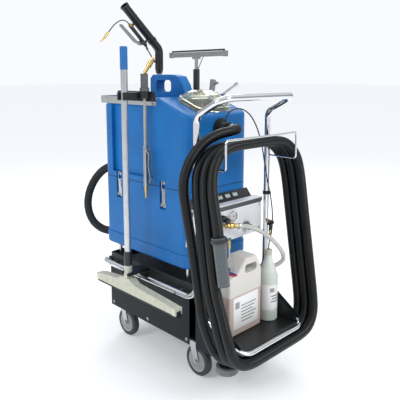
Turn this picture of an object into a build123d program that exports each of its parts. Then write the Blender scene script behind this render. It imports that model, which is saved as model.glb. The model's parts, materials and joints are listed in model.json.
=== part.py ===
"""Trolley-mounted spray and suction cleaning machine, in millimetres.

+Z is up, the operator stands on the -Y side and the origin is on the floor, midway between the side panels.
"""

from build123d import *
import math
import os

# Driving dimensions.
BASE_HALF_X = 183.0
BASE_FRONT_Y = -190.0
BASE_BACK_Y = 395.0
SKIRT_Z = 133.0
DECK_Z = 354.0
RIM_Z = 388.0
SHEET = 3.0
CASTER_X = 146.0
CASTER_FRONT_Y = -124.0
CASTER_BACK_Y = 340.0
CASTER_TRAIL = 26.0
CASTER_PLATE_Z = 158.0
WHEEL_R = 62.5
WHEEL_WIDTH = 30.0
FRAME_X = 205.5
FRAME_R = 12.5
FRAME_Z = 348.0
POST_Y = -197.0
POST_TOP_Z = 1000.0
BAR_Y = -325.0
BAR_Z = 1110.0
TANK_HALF_X = 175.0
TANK_FRONT_Y = -120.0
TANK_BACK_Y = 440.0
TANK_BOTTOM_Z = 430.0
SEAM_Z = 744.0
TANK_WALL = 6.0
LATCH_Y = (30.0, 325.0)
ROLLER_X = 145.0
ROLLER_Y = -300.0
ROLLER_R = 43.0
HOSE_D = 38.0
POLE_X = -273.0
POLE_Y = 139.0
GUN_X = -200.0
GUN_Y = 105.0
WAND_X = 194.0
WAND_Y = 480.0
BLADE_X = 200.0
BLADE_Y = 220.0
COIL_WIDTH = 558.0
COIL_HEIGHT = 822.0


def box(x0, x1, y0, y1, z0, z1):
    """A block between two corners."""
    size = Box(abs(x1 - x0), abs(y1 - y0), abs(z1 - z0))
    return Pos((x0 + x1) / 2, (y0 + y1) / 2, (z0 + z1) / 2) * size


def rod(start, end, radius, end_radius=None):
    """A round bar, or a cone, from one point to another."""
    a, b = Vector(start), Vector(end)
    axis = b - a
    plane = Plane(origin=a + axis * 0.5, z_dir=axis)
    if end_radius is None:
        return plane * Cylinder(radius, axis.length)
    return plane * Cone(radius, end_radius, axis.length)


def pipe(start, end, radius, inner):
    """A round tube, open at both ends."""
    a, b = Vector(start), Vector(end)
    over = (b - a).normalized()
    return rod(a, b, radius) - rod(a - over, b + over, inner)


def bent(points, radii, radius, inner=0.0):
    """A round bar or tube along straight runs joined by arcs."""
    path = FilletPolyline(*points, radius=radii)
    start = Plane(origin=path @ 0, z_dir=path % 0)
    bar = sweep(start * Circle(radius), path=path)
    if inner:
        bar = bar - sweep(start * Circle(inner), path=path)
    return bar


def route_radii(name, points, diameter):
    """The largest smooth radius at each corner of a cord's route, printed in diameters."""
    spots = [Vector(p) for p in points]
    radii = []
    for a, b, c in zip(spots, spots[1:], spots[2:]):
        turn = math.radians((b - a).get_angle(c - b))
        shorter = min((b - a).length, (c - b).length)
        radii.append(0.45 * shorter / math.tan(turn / 2))
    print(name, "radii in diameters", [round(r / diameter, 1) for r in radii])
    return radii


def cord(name, points, diameter):
    """A free cord's plain tube, with its volume compared with its length."""
    radii = route_radii(name, points, diameter)
    path = FilletPolyline(*points, radius=radii)
    start = Plane(origin=path @ 0, z_dir=path % 0)
    tube = sweep(start * Circle(diameter / 2), path=path)
    expected = path.length * math.pi * diameter ** 2 / 4
    print(name, "length", round(path.length), "volume ratio", round(tube.volume / expected, 4))
    return tube


def prism(points, x0, x1):
    """A (Y, Z) outline carried along X from x0 to x1."""
    face = make_face(Polyline(*points, close=True))
    return Pos(x0, 0, 0) * extrude(Plane.YZ * face, x1 - x0)


def upright(x0, x1, y0, y1, radius, z0, z1):
    """A block with rounded vertical corners."""
    face = Pos((x0 + x1) / 2, (y0 + y1) / 2, z0) * RectangleRounded(x1 - x0, y1 - y0, radius)
    return extrude(face, z1 - z0)


def both_sides(shape):
    """A shape and its mirror image across the middle plane."""
    return [shape, mirror(shape, about=Plane.YZ)]


# Base: folded sheet panels, deck tray and the basin for the chemical containers.

def base_panels():
    """Side, rear and front panels, the floor plate and the two cheeks of the basin."""
    low, high = SKIRT_Z, DECK_Z
    side = box(-BASE_HALF_X, -BASE_HALF_X + SHEET, -132, BASE_BACK_Y, low, high)
    cheek_line = [(-168, low), (-168, 352), (-200, 352), (-398, 222), (-398, 186),
                  (-330, 186), (-322, low)]
    cheek = prism(cheek_line, -BASE_HALF_X, -BASE_HALF_X + SHEET)
    inner = BASE_HALF_X - SHEET
    rear = box(-inner, inner, BASE_BACK_Y - SHEET, BASE_BACK_Y, low, high)
    front = box(-inner, inner, BASE_FRONT_Y, BASE_FRONT_Y + SHEET, low, high)
    floor = box(-inner, inner, BASE_FRONT_Y + SHEET, BASE_BACK_Y - SHEET,
                CASTER_PLATE_Z, CASTER_PLATE_Z + SHEET)
    shelf = box(-inner, inner, -322, BASE_FRONT_Y, low, low + SHEET)
    return both_sides(side) + both_sides(cheek) + [rear, front, floor, shelf]


def deck_tray():
    """The open tray on top of the base, with its thick rounded rim."""
    tray = upright(-BASE_HALF_X, BASE_HALF_X, BASE_FRONT_Y, BASE_BACK_Y, 12, DECK_Z, RIM_Z)
    pocket = upright(-BASE_HALF_X + 10, BASE_HALF_X - 10, BASE_FRONT_Y + 10, BASE_BACK_Y - 10,
                     8, DECK_Z + 4, RIM_Z + 5)
    tray = tray - pocket
    return fillet(tray.edges().group_by(Axis.Z)[-1], 3.5)


def canister_basin():
    """A scoop with a flat floor, a curved front and sloping sides."""
    outline = [(-190.2, 187), (-190.2, 330), (-203, 330), (-408, 205), (-408, 196), (-399, 187)]
    inside = [(-193.2, 190), (-193.2, 345), (-403, 345), (-403, 203), (-392, 190)]
    return prism(outline, -179.7, 179.7) - prism(inside, -176.7, 176.7)


# Chrome tube frame, guard bar and hose rack.

def frame_half(side):
    """Half of the rear cross tube, one side rail and its post."""
    path = [(0, 414, FRAME_Z), (side * FRAME_X, 414, FRAME_Z),
            (side * FRAME_X, POST_Y, FRAME_Z), (side * FRAME_X, POST_Y, POST_TOP_Z)]
    return bent(path, [30, 60], FRAME_R, FRAME_R - 1.5)


def push_handle():
    """The bar that the operator pushes, joined to the tops of both posts."""
    left = [(-FRAME_X, POST_Y, POST_TOP_Z), (-FRAME_X, POST_Y, 1042), (-FRAME_X, BAR_Y, BAR_Z)]
    right = [(FRAME_X, BAR_Y, BAR_Z), (FRAME_X, POST_Y, 1042), (FRAME_X, POST_Y, POST_TOP_Z)]
    return bent(left + right, [45, 40, 40, 45], FRAME_R, FRAME_R - 1.5)


def guard_bar():
    """The bar round the basin."""
    x = 193.3
    return bent([(-x, -212, 296), (-x, -415, 193), (x, -415, 193), (x, -212, 296)], [60, 60], 10)


def frame_fixings():
    """The guard bar's bolts and the stand-offs and bolts of the side rails."""
    parts = []
    for side in (-1, 1):
        for y, z in ((-235, 282), (-300, 249)):
            parts.append(rod((side * 183, y, z), (side * 188, y, z), 5))
        for y in (-90, 130, 350):
            parts.append(rod((side * 183, y, FRAME_Z), (side * 194, y, FRAME_Z), 7))
            parts.append(rod((side * 217.6, y, FRAME_Z), (side * 220, y, FRAME_Z), 5))
    return parts


def hose_rack():
    """The wire cradle that the hose hangs in."""
    x, back, front, low, high = FRAME_X, -208, -341, 862, 966
    path = [(-x, back, low), (-x, front, low), (-x, front, high),
            (x, front, high), (x, front, low), (x, back, low)]
    return bent(path, [12, 12, 12, 12], 4)


# Castors and bumper rollers.

def caster_spots():
    """Each castor's name and the X and Y of its swivel."""
    return {
        "front_left": (-CASTER_X, CASTER_FRONT_Y),
        "front_right": (CASTER_X, CASTER_FRONT_Y),
        "rear_left": (-CASTER_X, CASTER_BACK_Y),
        "rear_right": (CASTER_X, CASTER_BACK_Y),
    }


def caster_plate(x, y):
    """The fixed top plate and race of a castor, with its four bolts."""
    parts = [box(x - 33, x + 33, y - 40, y + 40, CASTER_PLATE_Z - 4, CASTER_PLATE_Z),
             rod((x, y, CASTER_PLATE_Z - 9), (x, y, CASTER_PLATE_Z - 4), 24)]
    for dx in (-24, 24):
        for dy in (-31, 31):
            parts.append(rod((x + dx, y + dy, 150), (x + dx, y + dy, CASTER_PLATE_Z - 4), 5))
    return parts


def caster_plates():
    """The fixed plates of all four castors."""
    return [piece for x, y in caster_spots().values() for piece in caster_plate(x, y)]


def caster_fork(x, y, brake):
    """The swivelling fork with its axle, and a brake pedal on the front pair."""
    axle_y = y - CASTER_TRAIL
    leg_line = [(y - 21, 147), (y + 13, 147), (y + 6, 118), (axle_y + 14, 66),
                (axle_y + 9, 53), (axle_y - 9, 53), (axle_y - 14, 66)]
    inner = WHEEL_WIDTH / 2 + 2
    parts = [prism(leg_line, x - inner - 2.5, x - inner), prism(leg_line, x + inner, x + inner + 2.5)]
    crown = rod((x, y, 144), (x, y, CASTER_PLATE_Z - 9.3), 23)
    bridge = box(x - inner - 2.5, x + inner + 2.5, y - 21, y + 13, 144.5, 147)
    shell = crown + bridge
    for leg in parts:
        shell = shell + leg
    axle = rod((x - inner - 6, axle_y, WHEEL_R), (x + inner + 6, axle_y, WHEEL_R), 4)
    shell = shell + axle
    if brake:
        shell = shell + box(x - 14, x + 14, y + 13, y + 26, 140, 143.5)
        shell = shell + box(x - 14, x + 14, y + 8, y + 14, 140, 147)
    return shell


def caster_wheel(x, y):
    """Hub and tyre, turning on the fork's axle."""
    axle_y = y - CASTER_TRAIL
    half = WHEEL_WIDTH / 2
    ends = ((x - half, axle_y, WHEEL_R), (x + half, axle_y, WHEEL_R))
    tyre = pipe(*ends, WHEEL_R, 44)
    tyre = fillet(tyre.edges().filter_by(GeomType.CIRCLE).sort_by(SortBy.RADIUS)[-2:], 9)
    web = pipe((x - 6, axle_y, WHEEL_R), (x + 6, axle_y, WHEEL_R), 44, 10)
    boss = pipe(*ends, 15, 4.05)
    band = pipe((x - half + 2, axle_y, WHEEL_R), (x + half - 2, axle_y, WHEEL_R), 44, 37)
    return [tyre, web + boss + band]


def bumper_roller(x):
    """A rubber ring on a black hub, turning about an upright stem."""
    ring = pipe((x, ROLLER_Y, 77), (x, ROLLER_Y, 103), ROLLER_R, 32)
    ring = fillet(ring.edges().filter_by(GeomType.CIRCLE).sort_by(SortBy.RADIUS)[-2:], 4)
    hub = pipe((x, ROLLER_Y, 80), (x, ROLLER_Y, 106), 32, 8.05)
    return [ring, hub]


def bumper_stem(x):
    """The bracket, stem and retaining washer of a bumper roller."""
    return [rod((x, ROLLER_Y, 106.5), (x, ROLLER_Y, SKIRT_Z), 17, 26),
            rod((x, ROLLER_Y, 79.5), (x, ROLLER_Y, 106.5), 8),
            rod((x, ROLLER_Y, 75.5), (x, ROLLER_Y, 79.5), 14)]


# Tanks.

def latch_pocket(side, y, grow=0.0):
    """The recess for one latch, across the seam, and its walls when grown."""
    deep = BASE_HALF_X
    floor = TANK_HALF_X - 12 - grow
    low, high = sorted((side * floor, side * (deep + 20)))
    return box(low, high, y - 18 - grow, y + 18 + grow, 652 - grow, 768 + grow)


def tank_pockets(grow=0.0):
    """All four latch recesses."""
    shape = latch_pocket(-1, LATCH_Y[0], grow)
    for side, y in ((-1, LATCH_Y[1]), (1, LATCH_Y[0]), (1, LATCH_Y[1])):
        shape = shape + latch_pocket(side, y, grow)
    return shape


def solution_tank():
    """The lower tank: an open-topped tub with a bulged foot."""
    front, back, half = TANK_FRONT_Y, TANK_BACK_Y, TANK_HALF_X
    body = upright(-half, half, front, back, 42, TANK_BOTTOM_Z + 4, SEAM_Z - 1.5)
    foot = upright(-half - 4, half + 4, front - 3, back + 3, 45, TANK_BOTTOM_Z, 488)
    foot = fillet(foot.edges().group_by(Axis.Z)[0], 14)
    foot = fillet(foot.edges().group_by(Axis.Z)[-1], 3.5)
    shell = body + foot - tank_pockets()
    wall = TANK_WALL
    inside = upright(-half + wall, half - wall, front + wall, back - wall, 37,
                     TANK_BOTTOM_Z + wall, SEAM_Z + 50)
    return shell - (inside - tank_pockets(wall))


def top_line(inset):
    """The upper tank's side outline, moved inwards by a wall."""
    low = SEAM_Z + 1.5 + inset
    return [(TANK_BACK_Y - inset, low), (TANK_BACK_Y - inset, 1064 - inset),
            (300, 1090 - inset), (60, 1100 - inset), (TANK_FRONT_Y + inset, 1034 - inset),
            (TANK_FRONT_Y + inset, low)]


def side_recess(side, grow=0.0):
    """The long shallow recess in one side of the upper tank."""
    floor = TANK_HALF_X - 16 - grow
    low, high = sorted((side * floor, side * 210))
    return box(low, high, 88 - grow, 370 + grow, 768 - grow, 1150)


def tank_top_handle():
    """The moulded arch on the upper tank."""
    outline = [(42, 1085), (70, 1150), (96, 1184), (136, 1192), (270, 1192), (287, 1176), (287, 1080)]
    arch = prism(outline, -24, 24)
    arch = fillet(arch.edges().filter_by(Axis.X, reverse=True), 7)
    hole = Plane.YZ * Pos(194, 1143) * RectangleRounded(98, 50, 16)
    return arch - extrude(hole, 60, both=True)


def slope_plane():
    """A plane on the sloping top in front of the handle, at the lid's middle."""
    tilt = math.atan2(66, 180)
    return Plane(origin=(0, -32, 1066.3), x_dir=(1, 0, 0), z_dir=(0, -math.sin(tilt), math.cos(tilt)))


def recovery_tank():
    """The upper tank with its lid opening, hose port and moulded handle."""
    half, wall = TANK_HALF_X, TANK_WALL
    body = prism(top_line(0), -half, half)
    body = body & upright(-half, half, TANK_FRONT_Y, TANK_BACK_Y, 42, 700, 1200)
    top_edges = body.edges().filter_by_position(Axis.Z, 1030, 1200)
    outer = [e for e in top_edges if abs(e.center().X) > 60 or e.center().Y > 390 or e.center().Y < -115]
    body = fillet(outer, 14)
    shell = body - side_recess(-1) - side_recess(1) - tank_pockets() + tank_top_handle()
    inside = prism(top_line(wall), -half + wall, half - wall)
    inside = inside & upright(-half + wall, half - wall, TANK_FRONT_Y + wall, TANK_BACK_Y - wall, 37, 700, 1200)
    inside = inside - side_recess(-1, wall) - side_recess(1, wall) - tank_pockets(wall)
    mouth = slope_plane() * Pos(0, 0, -20) * extrude(RectangleRounded(160, 96, 18), 40)
    port = rod((0, TANK_FRONT_Y - 5, 980), (0, TANK_FRONT_Y + 10, 980), 18)
    return shell - inside - mouth - port


def tank_seals():
    """The gasket in the seam and the gasket under the lid."""
    half, wall = TANK_HALF_X, TANK_WALL
    front, back = TANK_FRONT_Y, TANK_BACK_Y
    low = SEAM_Z - 1.5
    seam = upright(-half + 1, half - 1, front + 1, back - 1, 41, low, low + 3)
    seam = seam - upright(-half + wall, half - wall, front + wall, back - wall, 37, low - 1, low + 4)
    seam = seam - tank_pockets(wall)
    ring = RectangleRounded(184, 124, 20) - RectangleRounded(164, 100, 16)
    return [seam, slope_plane() * Pos(0, 0, 0.8) * extrude(ring, 3)]


def tank_lid():
    """The clear domed lid with its thick rim, catch and hinge knuckles."""
    def shell(grow, low, high):
        rim = extrude(RectangleRounded(198 - grow, 140 - grow, 24 - grow / 2), high - low)
        return Pos(0, 0, low) * rim

    def dome(grow, base, mid, top):
        low = Pos(0, 0, base) * RectangleRounded(184 - grow, 126 - grow, 24)
        waist = Pos(0, 2, mid) * RectangleRounded(158 - grow, 104 - grow, 26)
        crest = Pos(0, 4, top) * RectangleRounded(100 - grow, 62 - grow, 24)
        return loft([low, waist, crest])

    rim = shell(0, 4.1, 22) - shell(8, 3, 18)
    lid = rim + dome(0, 21, 42, 56) - dome(7, 17.5, 39, 52.5)
    catch = box(-14, 14, -79, -69, 4.5, 20)
    knuckles = [rod((x - 14, 74, 12), (x + 14, 74, 12), 5) for x in (-55, 55)]
    for piece in [catch] + knuckles:
        lid = lid + piece
    return slope_plane() * lid


def tank_latch(side, y):
    """A lever plate with its wire bail, hinged at the lever's foot."""
    x = side * (TANK_HALF_X - 6)
    lever = box(x - 1.2, x + 1.2, y - 10, y + 10, 668, 736)
    lever = lever + rod((x, y - 10, 668), (x, y + 10, 668), 3.5)
    lever = lever + box(x + side * 1.2, x + side * 4, y - 7, y + 7, 700, 730)
    bail = bent([(x, y - 13, 726), (x, y - 13, 765.8), (x + side * -3.2, y, 765.8),
                 (x, y + 13, 765.8), (x, y + 13, 726)], [3, 8, 3], 1.5)
    cross = rod((x, y - 14, 726), (x, y + 14, 726), 1.8)
    return [lever - rod((x, y - 11, 668), (x, y + 11, 668), 1.6) + cross + bail]


def latch_bracket(side, y):
    """The bracket and pin under a latch lever and the hook that its bail pulls on."""
    floor = TANK_HALF_X - 12
    x = side * (TANK_HALF_X - 6)
    ears = []
    for dy in (-14.5, 10.5):
        low, high = sorted((side * floor, side * (TANK_HALF_X - 2)))
        ears.append(box(low, high, y + dy, y + dy + 4, 661, 675))
    pin = rod((x, y - 14, 668), (x, y + 14, 668), 1.55)
    low, high = sorted((side * floor, side * (floor + 2)))
    plate = box(low, high, y - 12, y + 12, 656, 700)
    hook_low, hook_high = sorted((side * floor, side * (floor + 5)))
    hook = box(hook_low, hook_high, y - 7, y + 7, 754, 763)
    return [ears[0] + ears[1] + pin + plate, hook]


def tool_rail():
    """The two steel strips along the left side and the back of the tank top."""
    left = box(-TANK_HALF_X - 3, -TANK_HALF_X, 60, TANK_BACK_Y, 1068, 1100)
    back = box(-TANK_HALF_X - 3, 215, TANK_BACK_Y, TANK_BACK_Y + 3, 1068, 1100)
    return [left, back]


def tank_feet():
    """Four short posts between the deck tray and the lower tank."""
    return [rod((x, y, DECK_Z + 4), (x, y, TANK_BOTTOM_Z), 8)
            for x in (-145, 145) for y in (-85, 365)]


def steel_fittings():
    """Feet, latch brackets, tool rail and frame fixings, all in stainless steel."""
    parts = tank_feet() + tool_rail() + frame_fixings()
    for side in (-1, 1):
        for y in LATCH_Y:
            parts = parts + latch_bracket(side, y)
    return parts


def hose_port():
    """The flange and elbow on the tank's operator face, with the float cage inside."""
    y = TANK_FRONT_Y
    flange = pipe((0, y, 980), (0, y - 8, 980), 40, 16)
    flange = flange + pipe((0, y, 980), (0, y - 45, 980), 27, 17)
    stub = pipe((0, y + 45, 980), (0, y - 8, 980), 17.8, 14)
    cage = pipe((0, y + 45, 985), (0, y + 45, 900), 30, 26)
    cage = cage - box(-40, 40, y + 38, y + 52, 915, 960) - box(-7, 7, y, y + 90, 915, 960)
    cage = cage - rod((0, y + 10, 980), (0, y + 50, 980), 14)
    spigot = rod((0, y - 30, 1000), (0, y - 30, 1012), 4)
    return [flange + stub + cage + spigot]


def motor_and_pump():
    """The suction motor and its fan housing, and the pump with its motor, inside the base."""
    motor = rod((-60, 220, 165), (-60, 220, 300), 62) + rod((-60, 220, 161), (-60, 220, 205), 85)
    pump = rod((70, -60, 210), (70, 80, 210), 42) + box(35, 105, -110, -60, 175, 245)
    feet = box(40, 100, -40, 60, 161, 172)
    return [motor, pump + feet]


# Control box and its fittings.

def control_box():
    """The box between the posts, with its ledge and folded top edge."""
    front, back = -184.2, -122
    shell = box(-190, 190, front, back, 535, 680) - box(-188, 188, front + 2, back + 2, 537, 678)
    lip = box(-191, 191, front - 3, front, 668, 683)
    ledge = box(-191, 191, front, -148, 680, 683)
    return [shell, lip, ledge]


def switch_panel():
    """The sloping strip behind the ledge, with four openings for the rockers."""
    strip = prism([(-147.8, 680), (-147.8, 686), (-123, 716), (-123, 680)], -165, 165)
    for x in rocker_places():
        strip = strip - rocker_plane(x) * Box(27, 17, 20)
    return [strip]


def rocker_places():
    """The X of each rocker switch."""
    return [-60, -15, 30, 75]


def rocker_plane(x):
    """A plane on the switch strip at one rocker."""
    tilt = math.atan2(30, 24.8)
    return Plane(origin=(x, -135.4, 701), x_dir=(1, 0, 0), z_dir=(0, -math.sin(tilt), math.cos(tilt)))


def rocker_switch(x):
    """One rocker with a slightly dished top."""
    body = Pos(0, 0, -1) * Box(25, 15, 8)
    body = body - Pos(0, 0, 33) * Rot(0, 90, 0) * Cylinder(30.4, 40)
    return rocker_plane(x) * body


def pressure_gauge():
    """The round gauge on the front of the box: case, bezel and clear face."""
    x, z, face = 2, 634, -184.2
    case = rod((x, face, z), (x, face - 14, z), 22) - rod((x, face - 10, z), (x, face - 20, z), 20)
    needle = rod((x, face - 10, z), (x, face - 12, z), 2.5)
    needle = needle + box(x - 0.8, x + 0.8, face - 12, face - 11, z - 4, z + 14)
    window = rod((x, face - 12.4, z), (x, face - 13.6, z), 19.9)
    return [case, needle, window]


def regulator_knob():
    """The knob that sets the pump's pressure."""
    x, z, face = -63, 636, -184.2
    knob = rod((x, face - 8, z), (x, face - 26, z), 14)
    for step in range(10):
        angle = step * math.tau / 10
        knob = knob - rod((x + 15.5 * math.cos(angle), face - 10, z + 15.5 * math.sin(angle)),
                          (x + 15.5 * math.cos(angle), face - 27, z + 15.5 * math.sin(angle)), 3)
    return knob


def brass_fittings():
    """Regulator stem, outlet valve, dosing elbow, return socket and the tap body on the right post."""
    face = -184.2
    stem = rod((-63, face, 636), (-63, face - 7.7, 636), 8)
    valve = rod((-50, face, 606), (-50, face - 24, 606), 8)
    valve = valve + rod((-58, -208, 610), (-12, -224, 604), 9)
    nut = rod((-42, -213.6, 607.9), (-30, -217.7, 606.4), 12)
    elbow = rod((-33, face, 540), (-33, -203, 540), 8) + rod((-33, -203, 544), (-34, -205, 510), 6.5)
    coupling = rod((80, face, 584), (92, -212, 572), 13)
    tap = rod((FRAME_X, -209.3, 575), (FRAME_X, -228, 575), 9)
    tap = tap + rod((FRAME_X, -222, 583), (FRAME_X, -222, 540), 6)
    tail = rod((FRAME_X, -222, 540), (FRAME_X, -222, 518), 4)
    socket = rod((84, BASE_FRONT_Y, 346), (84, -203, 346), 11)
    return [stem, valve + nut, elbow, coupling, tap + tail, socket]


def tap_lever():
    """The quarter-turn lever of the tap on the right post."""
    hub = rod((FRAME_X, -228.3, 575), (FRAME_X, -236, 575), 8)
    return hub + box(FRAME_X - 34, FRAME_X, -235, -230, 570, 580)


# Containers.

def canister():
    """The five-litre jerrycan with its carrying hole and cap."""
    outline = [(-120, 190), (70, 190), (70, 430), (38, 490), (-24, 490), (-70, 440), (-120, 424)]
    face = make_face(Polyline(*[(x, z) for x, z in outline], close=True))
    face = fillet(face.vertices(), 9)
    can = Plane.XZ * face
    can = Pos(0, -200, 0) * extrude(can, 88)
    can = fillet(can.edges().filter_by_position(Axis.Z, 191, 480).filter_by(Axis.Z), 8)
    hole = Plane.XZ * Pos(2, 447) * RectangleRounded(72, 34, 14)
    can = can - Pos(0, -100, 0) * extrude(hole, 220)
    cap = rod((-96, -244, 436), (-96, -244, 456), 17)
    neck = rod((-96, -244, 420), (-96, -244, 436), 14)
    return [can + neck, cap]


def bottle():
    """The one-litre bottle with its cone shoulder and cap."""
    x, y = 133, -272
    outline = [(0, 190), (37, 190), (40, 194), (40, 375), (37, 388), (15, 448), (13, 462), (0, 462)]
    face = Plane.XZ * make_face(Polyline(*outline, close=True))
    body = Pos(x, y, 0) * revolve(face, Axis.Z)
    return [body, rod((x, y, 462), (x, y, 484), 15)]


# Cleaning tools and their holders.

def tool_clips():
    """The black holders: clip bar, gun ring, pole forks, wand ring and cup, squeegee cup."""
    bar = box(-190, -178, 66, 300, 1085, 1125)
    gun_ring = rod((GUN_X, GUN_Y, 1100), (GUN_X, GUN_Y, 1125), 21)
    gun_hole = rod((GUN_X, GUN_Y, 1090), (GUN_X, GUN_Y, 1140), 15.4)
    upper = box(POLE_X - 20, -185, POLE_Y - 21, POLE_Y + 21, 1092, 1122)
    upper_slot = rod((POLE_X, POLE_Y, 1080), (POLE_X, POLE_Y, 1140), 14)
    upper_slot = upper_slot + box(POLE_X - 30, POLE_X, POLE_Y - 14, POLE_Y + 14, 1080, 1140)
    left = (bar + gun_ring + upper) - gun_hole - upper_slot
    fork = box(POLE_X - 20, -BASE_HALF_X, POLE_Y - 25, POLE_Y + 25, 374, 386)
    fork = fork - rod((POLE_X, POLE_Y, 370), (POLE_X, POLE_Y, 390), 17.5)
    fork = fork - box(POLE_X - 30, POLE_X, POLE_Y - 17.5, POLE_Y + 17.5, 370, 390)
    wand_ring = box(WAND_X - 11, WAND_X + 11, TANK_BACK_Y + 3, WAND_Y - 8, 1062, 1092)
    wand_ring = wand_ring + rod((WAND_X, WAND_Y, 1062), (WAND_X, WAND_Y, 1092), 18)
    wand_ring = wand_ring - rod((WAND_X, WAND_Y, 1050), (WAND_X, WAND_Y, 1100), 12.9)
    cup = rod((WAND_X, WAND_Y, 254), (WAND_X, WAND_Y, 320), 17)
    cup = cup + box(WAND_X - 20, WAND_X + 20, BASE_BACK_Y, WAND_Y - 8, 282, 298)
    cup = cup - rod((WAND_X, WAND_Y, 261.7), (WAND_X, WAND_Y, 330), 12.9)
    pot = rod((BLADE_X, BLADE_Y, 1070), (BLADE_X, BLADE_Y, 1098), 19.5)
    pot = pot + box(TANK_HALF_X - 9, BLADE_X - 8, BLADE_Y - 11, BLADE_Y + 11, 1072, 1088)
    pot = pot - rod((BLADE_X, BLADE_Y, 1077.7), (BLADE_X, BLADE_Y, 1110), 15.4)
    return [left, fork, wand_ring, cup, pot]


def floor_squeegee_pole():
    """The pole with its ferrule, joint ring and blue grip."""
    x, y = POLE_X, POLE_Y
    return [rod((x, y, 474), (x, y, 1210), 13.5),
            rod((x, y, 415), (x, y, 474), 17, 16),
            fillet(rod((x, y, 1210), (x, y, 1300), 15).edges().group_by(Axis.Z)[-1], 5)]


def floor_squeegee_head():
    """The moulded head with its socket, and the rubber blade under it."""
    x = POLE_X
    line = [(-165, 302), (345, 302), (345, 326), (320, 334), (POLE_Y + 60, 346),
            (POLE_Y + 24, 364), (POLE_Y - 24, 364), (POLE_Y - 60, 346), (-140, 330), (-165, 326)]
    beam = prism(line, x - 17, x + 17) - prism([(-170, 296), (350, 296), (350, 316), (-170, 316)], x - 11, x + 11)
    socket = rod((x, POLE_Y, 350), (x, POLE_Y, 415), 17)
    blade = box(x - 10.8, x + 10.8, -172, 352, 290, 315.8)
    return [beam + socket, blade]


def window_squeegee():
    """A hand squeegee parked blade up: grip, stem, channel with end caps, and rubber."""
    x, y = BLADE_X, BLADE_Y
    grip = fillet(rod((x, y, 1078), (x, y, 1217), 15).edges(), 3)
    stem = rod((x, y, 1217), (x, y, 1268), 8) + box(x - 4, x + 4, y - 24, y + 24, 1262, 1272)
    stay = rod((x, y - 12, 1217), (x, y - 45, 1273), 2.5)
    channel = box(x - 8, x + 8, y - 175, y + 165, 1272, 1294)
    ends = [box(x - 9, x + 9, y - 190, y - 175, 1270, 1296), box(x - 9, x + 9, y + 165, y + 180, 1270, 1296)]
    rubber = box(x - 1.5, x + 1.5, y - 178, y + 168, 1296, 1304)
    return [grip, stem, stay, channel - box(x - 2, x + 2, y - 200, y + 200, 1290, 1300), rubber] + ends


def spray_gun():
    """The hanging gun: coupler, grey body, thin lance, brass valve and tapered nozzle."""
    x, y = GUN_X, GUN_Y
    coupler = rod((x, y, 1195), (x + 10, y - 14, 1222), 7) + rod((x + 10, y - 14, 1222), (x + 18, y - 25, 1244), 10)
    tip = rod((x + 18, y - 25, 1244), (x + 23, y - 31, 1258), 6)
    body = rod((x, y, 1096), (x, y, 1195), 15)
    shoulder = rod((x, y, 1125.3), (x, y, 1140), 19)
    lance = rod((x, y, 908), (x, y, 1096), 6)
    head = rod((x, y, 742), (x, y, 908), 9) + box(x - 8, x - 5.3, y - 20, y, 883, 898)
    head = head + box(x + 5.3, x + 8, y - 20, y, 883, 898) + rod((x - 8, y - 15, 890), (x + 8, y - 15, 890), 1.55)
    nozzle = rod((x, y, 690), (x, y, 742), 3, 7.5)
    return [body + shoulder, coupler, tip, lance, head, nozzle]


def gun_trigger():
    """The curved lever beside the gun's valve."""
    y = GUN_Y - 15
    line = Spline((y - 4.5, 888), (y - 14, 868), (y - 9, 838), (y - 17, 800), (y - 16, 758))
    back = Spline((y - 11, 758), (y - 12, 800), (y - 4.5, 838), (y - 8.5, 866), (y + 3, 884))
    face = make_face([line, Line(line @ 1, back @ 0), back, Line(back @ 1, line @ 0)])
    lever = Pos(GUN_X - 5, 0, 0) * extrude(Plane.YZ * face, 10)
    eye = rod((GUN_X - 5, y, 890), (GUN_X + 5, y, 890), 5)
    return lever + eye - rod((GUN_X - 6, y, 890), (GUN_X + 6, y, 890), 1.62)


def wand_point(along, out):
    """A point on the wand's leaning part: along it from the bend, and out on its lower side."""
    run = Vector(-207, 0, 192.5).normalized()
    return Vector(WAND_X, WAND_Y, 1315) + run * along + Vector(-run.Z, 0, run.X) * out


def wand_tube():
    """The suction wand: chrome lower tube, collars and the bent black handle tube."""
    x, y = WAND_X, WAND_Y
    steel = pipe((x, y, 262), (x, y, 1216), 12.5, 11)
    handle = bent([(x, y, 1217), (x, y, 1315), wand_point(283, 0)], [42], 20, 17)
    foot = rod((x, y, 1196), (x, y, 1217), 15, 20) - rod((x, y, 1190), (x, y, 1220), 12.5)
    collar = rod(wand_point(52, 0), wand_point(66, 0), 22.5) - rod(wand_point(40, 0), wand_point(80, 0), 20)
    rim = rod(wand_point(275, 0), wand_point(283, 0), 22) - rod(wand_point(270, 0), wand_point(290, 0), 20)
    return [steel, handle, foot, collar, rim]


def wand_valve():
    """The spray valve beside the handle, with its clamps, pivot and tail."""
    barrel = rod(wand_point(72, 44), wand_point(206, 42), 9)
    for along in (84, 190):
        barrel = barrel + rod(wand_point(along, 20.2), wand_point(along, 44), 6)
    pin_at = wand_point(100, 62)
    seat = wand_point(103, 49)
    pivot = rod((seat.X, WAND_Y - 14, seat.Z), (seat.X, WAND_Y + 14, seat.Z), 5)
    pin = rod((pin_at.X, WAND_Y - 14, pin_at.Z), (pin_at.X, WAND_Y + 14, pin_at.Z), 1.95)
    ears = []
    for side in (-1, 1):
        low, high = sorted((WAND_Y + side * 11.6, WAND_Y + side * 14))
        ears.append(box(pin_at.X - 7, pin_at.X + 14, low, high, pin_at.Z - 6, pin_at.Z + 12))
    tail = rod(wand_point(72, 44), wand_point(52, 52), 5) + rod(wand_point(52, 52), wand_point(-8, 62), 3)
    brass = rod(wand_point(-8, 62), wand_point(-22, 65), 5)
    return [barrel + pivot + pin + ears[0] + ears[1] + tail, brass]


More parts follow.
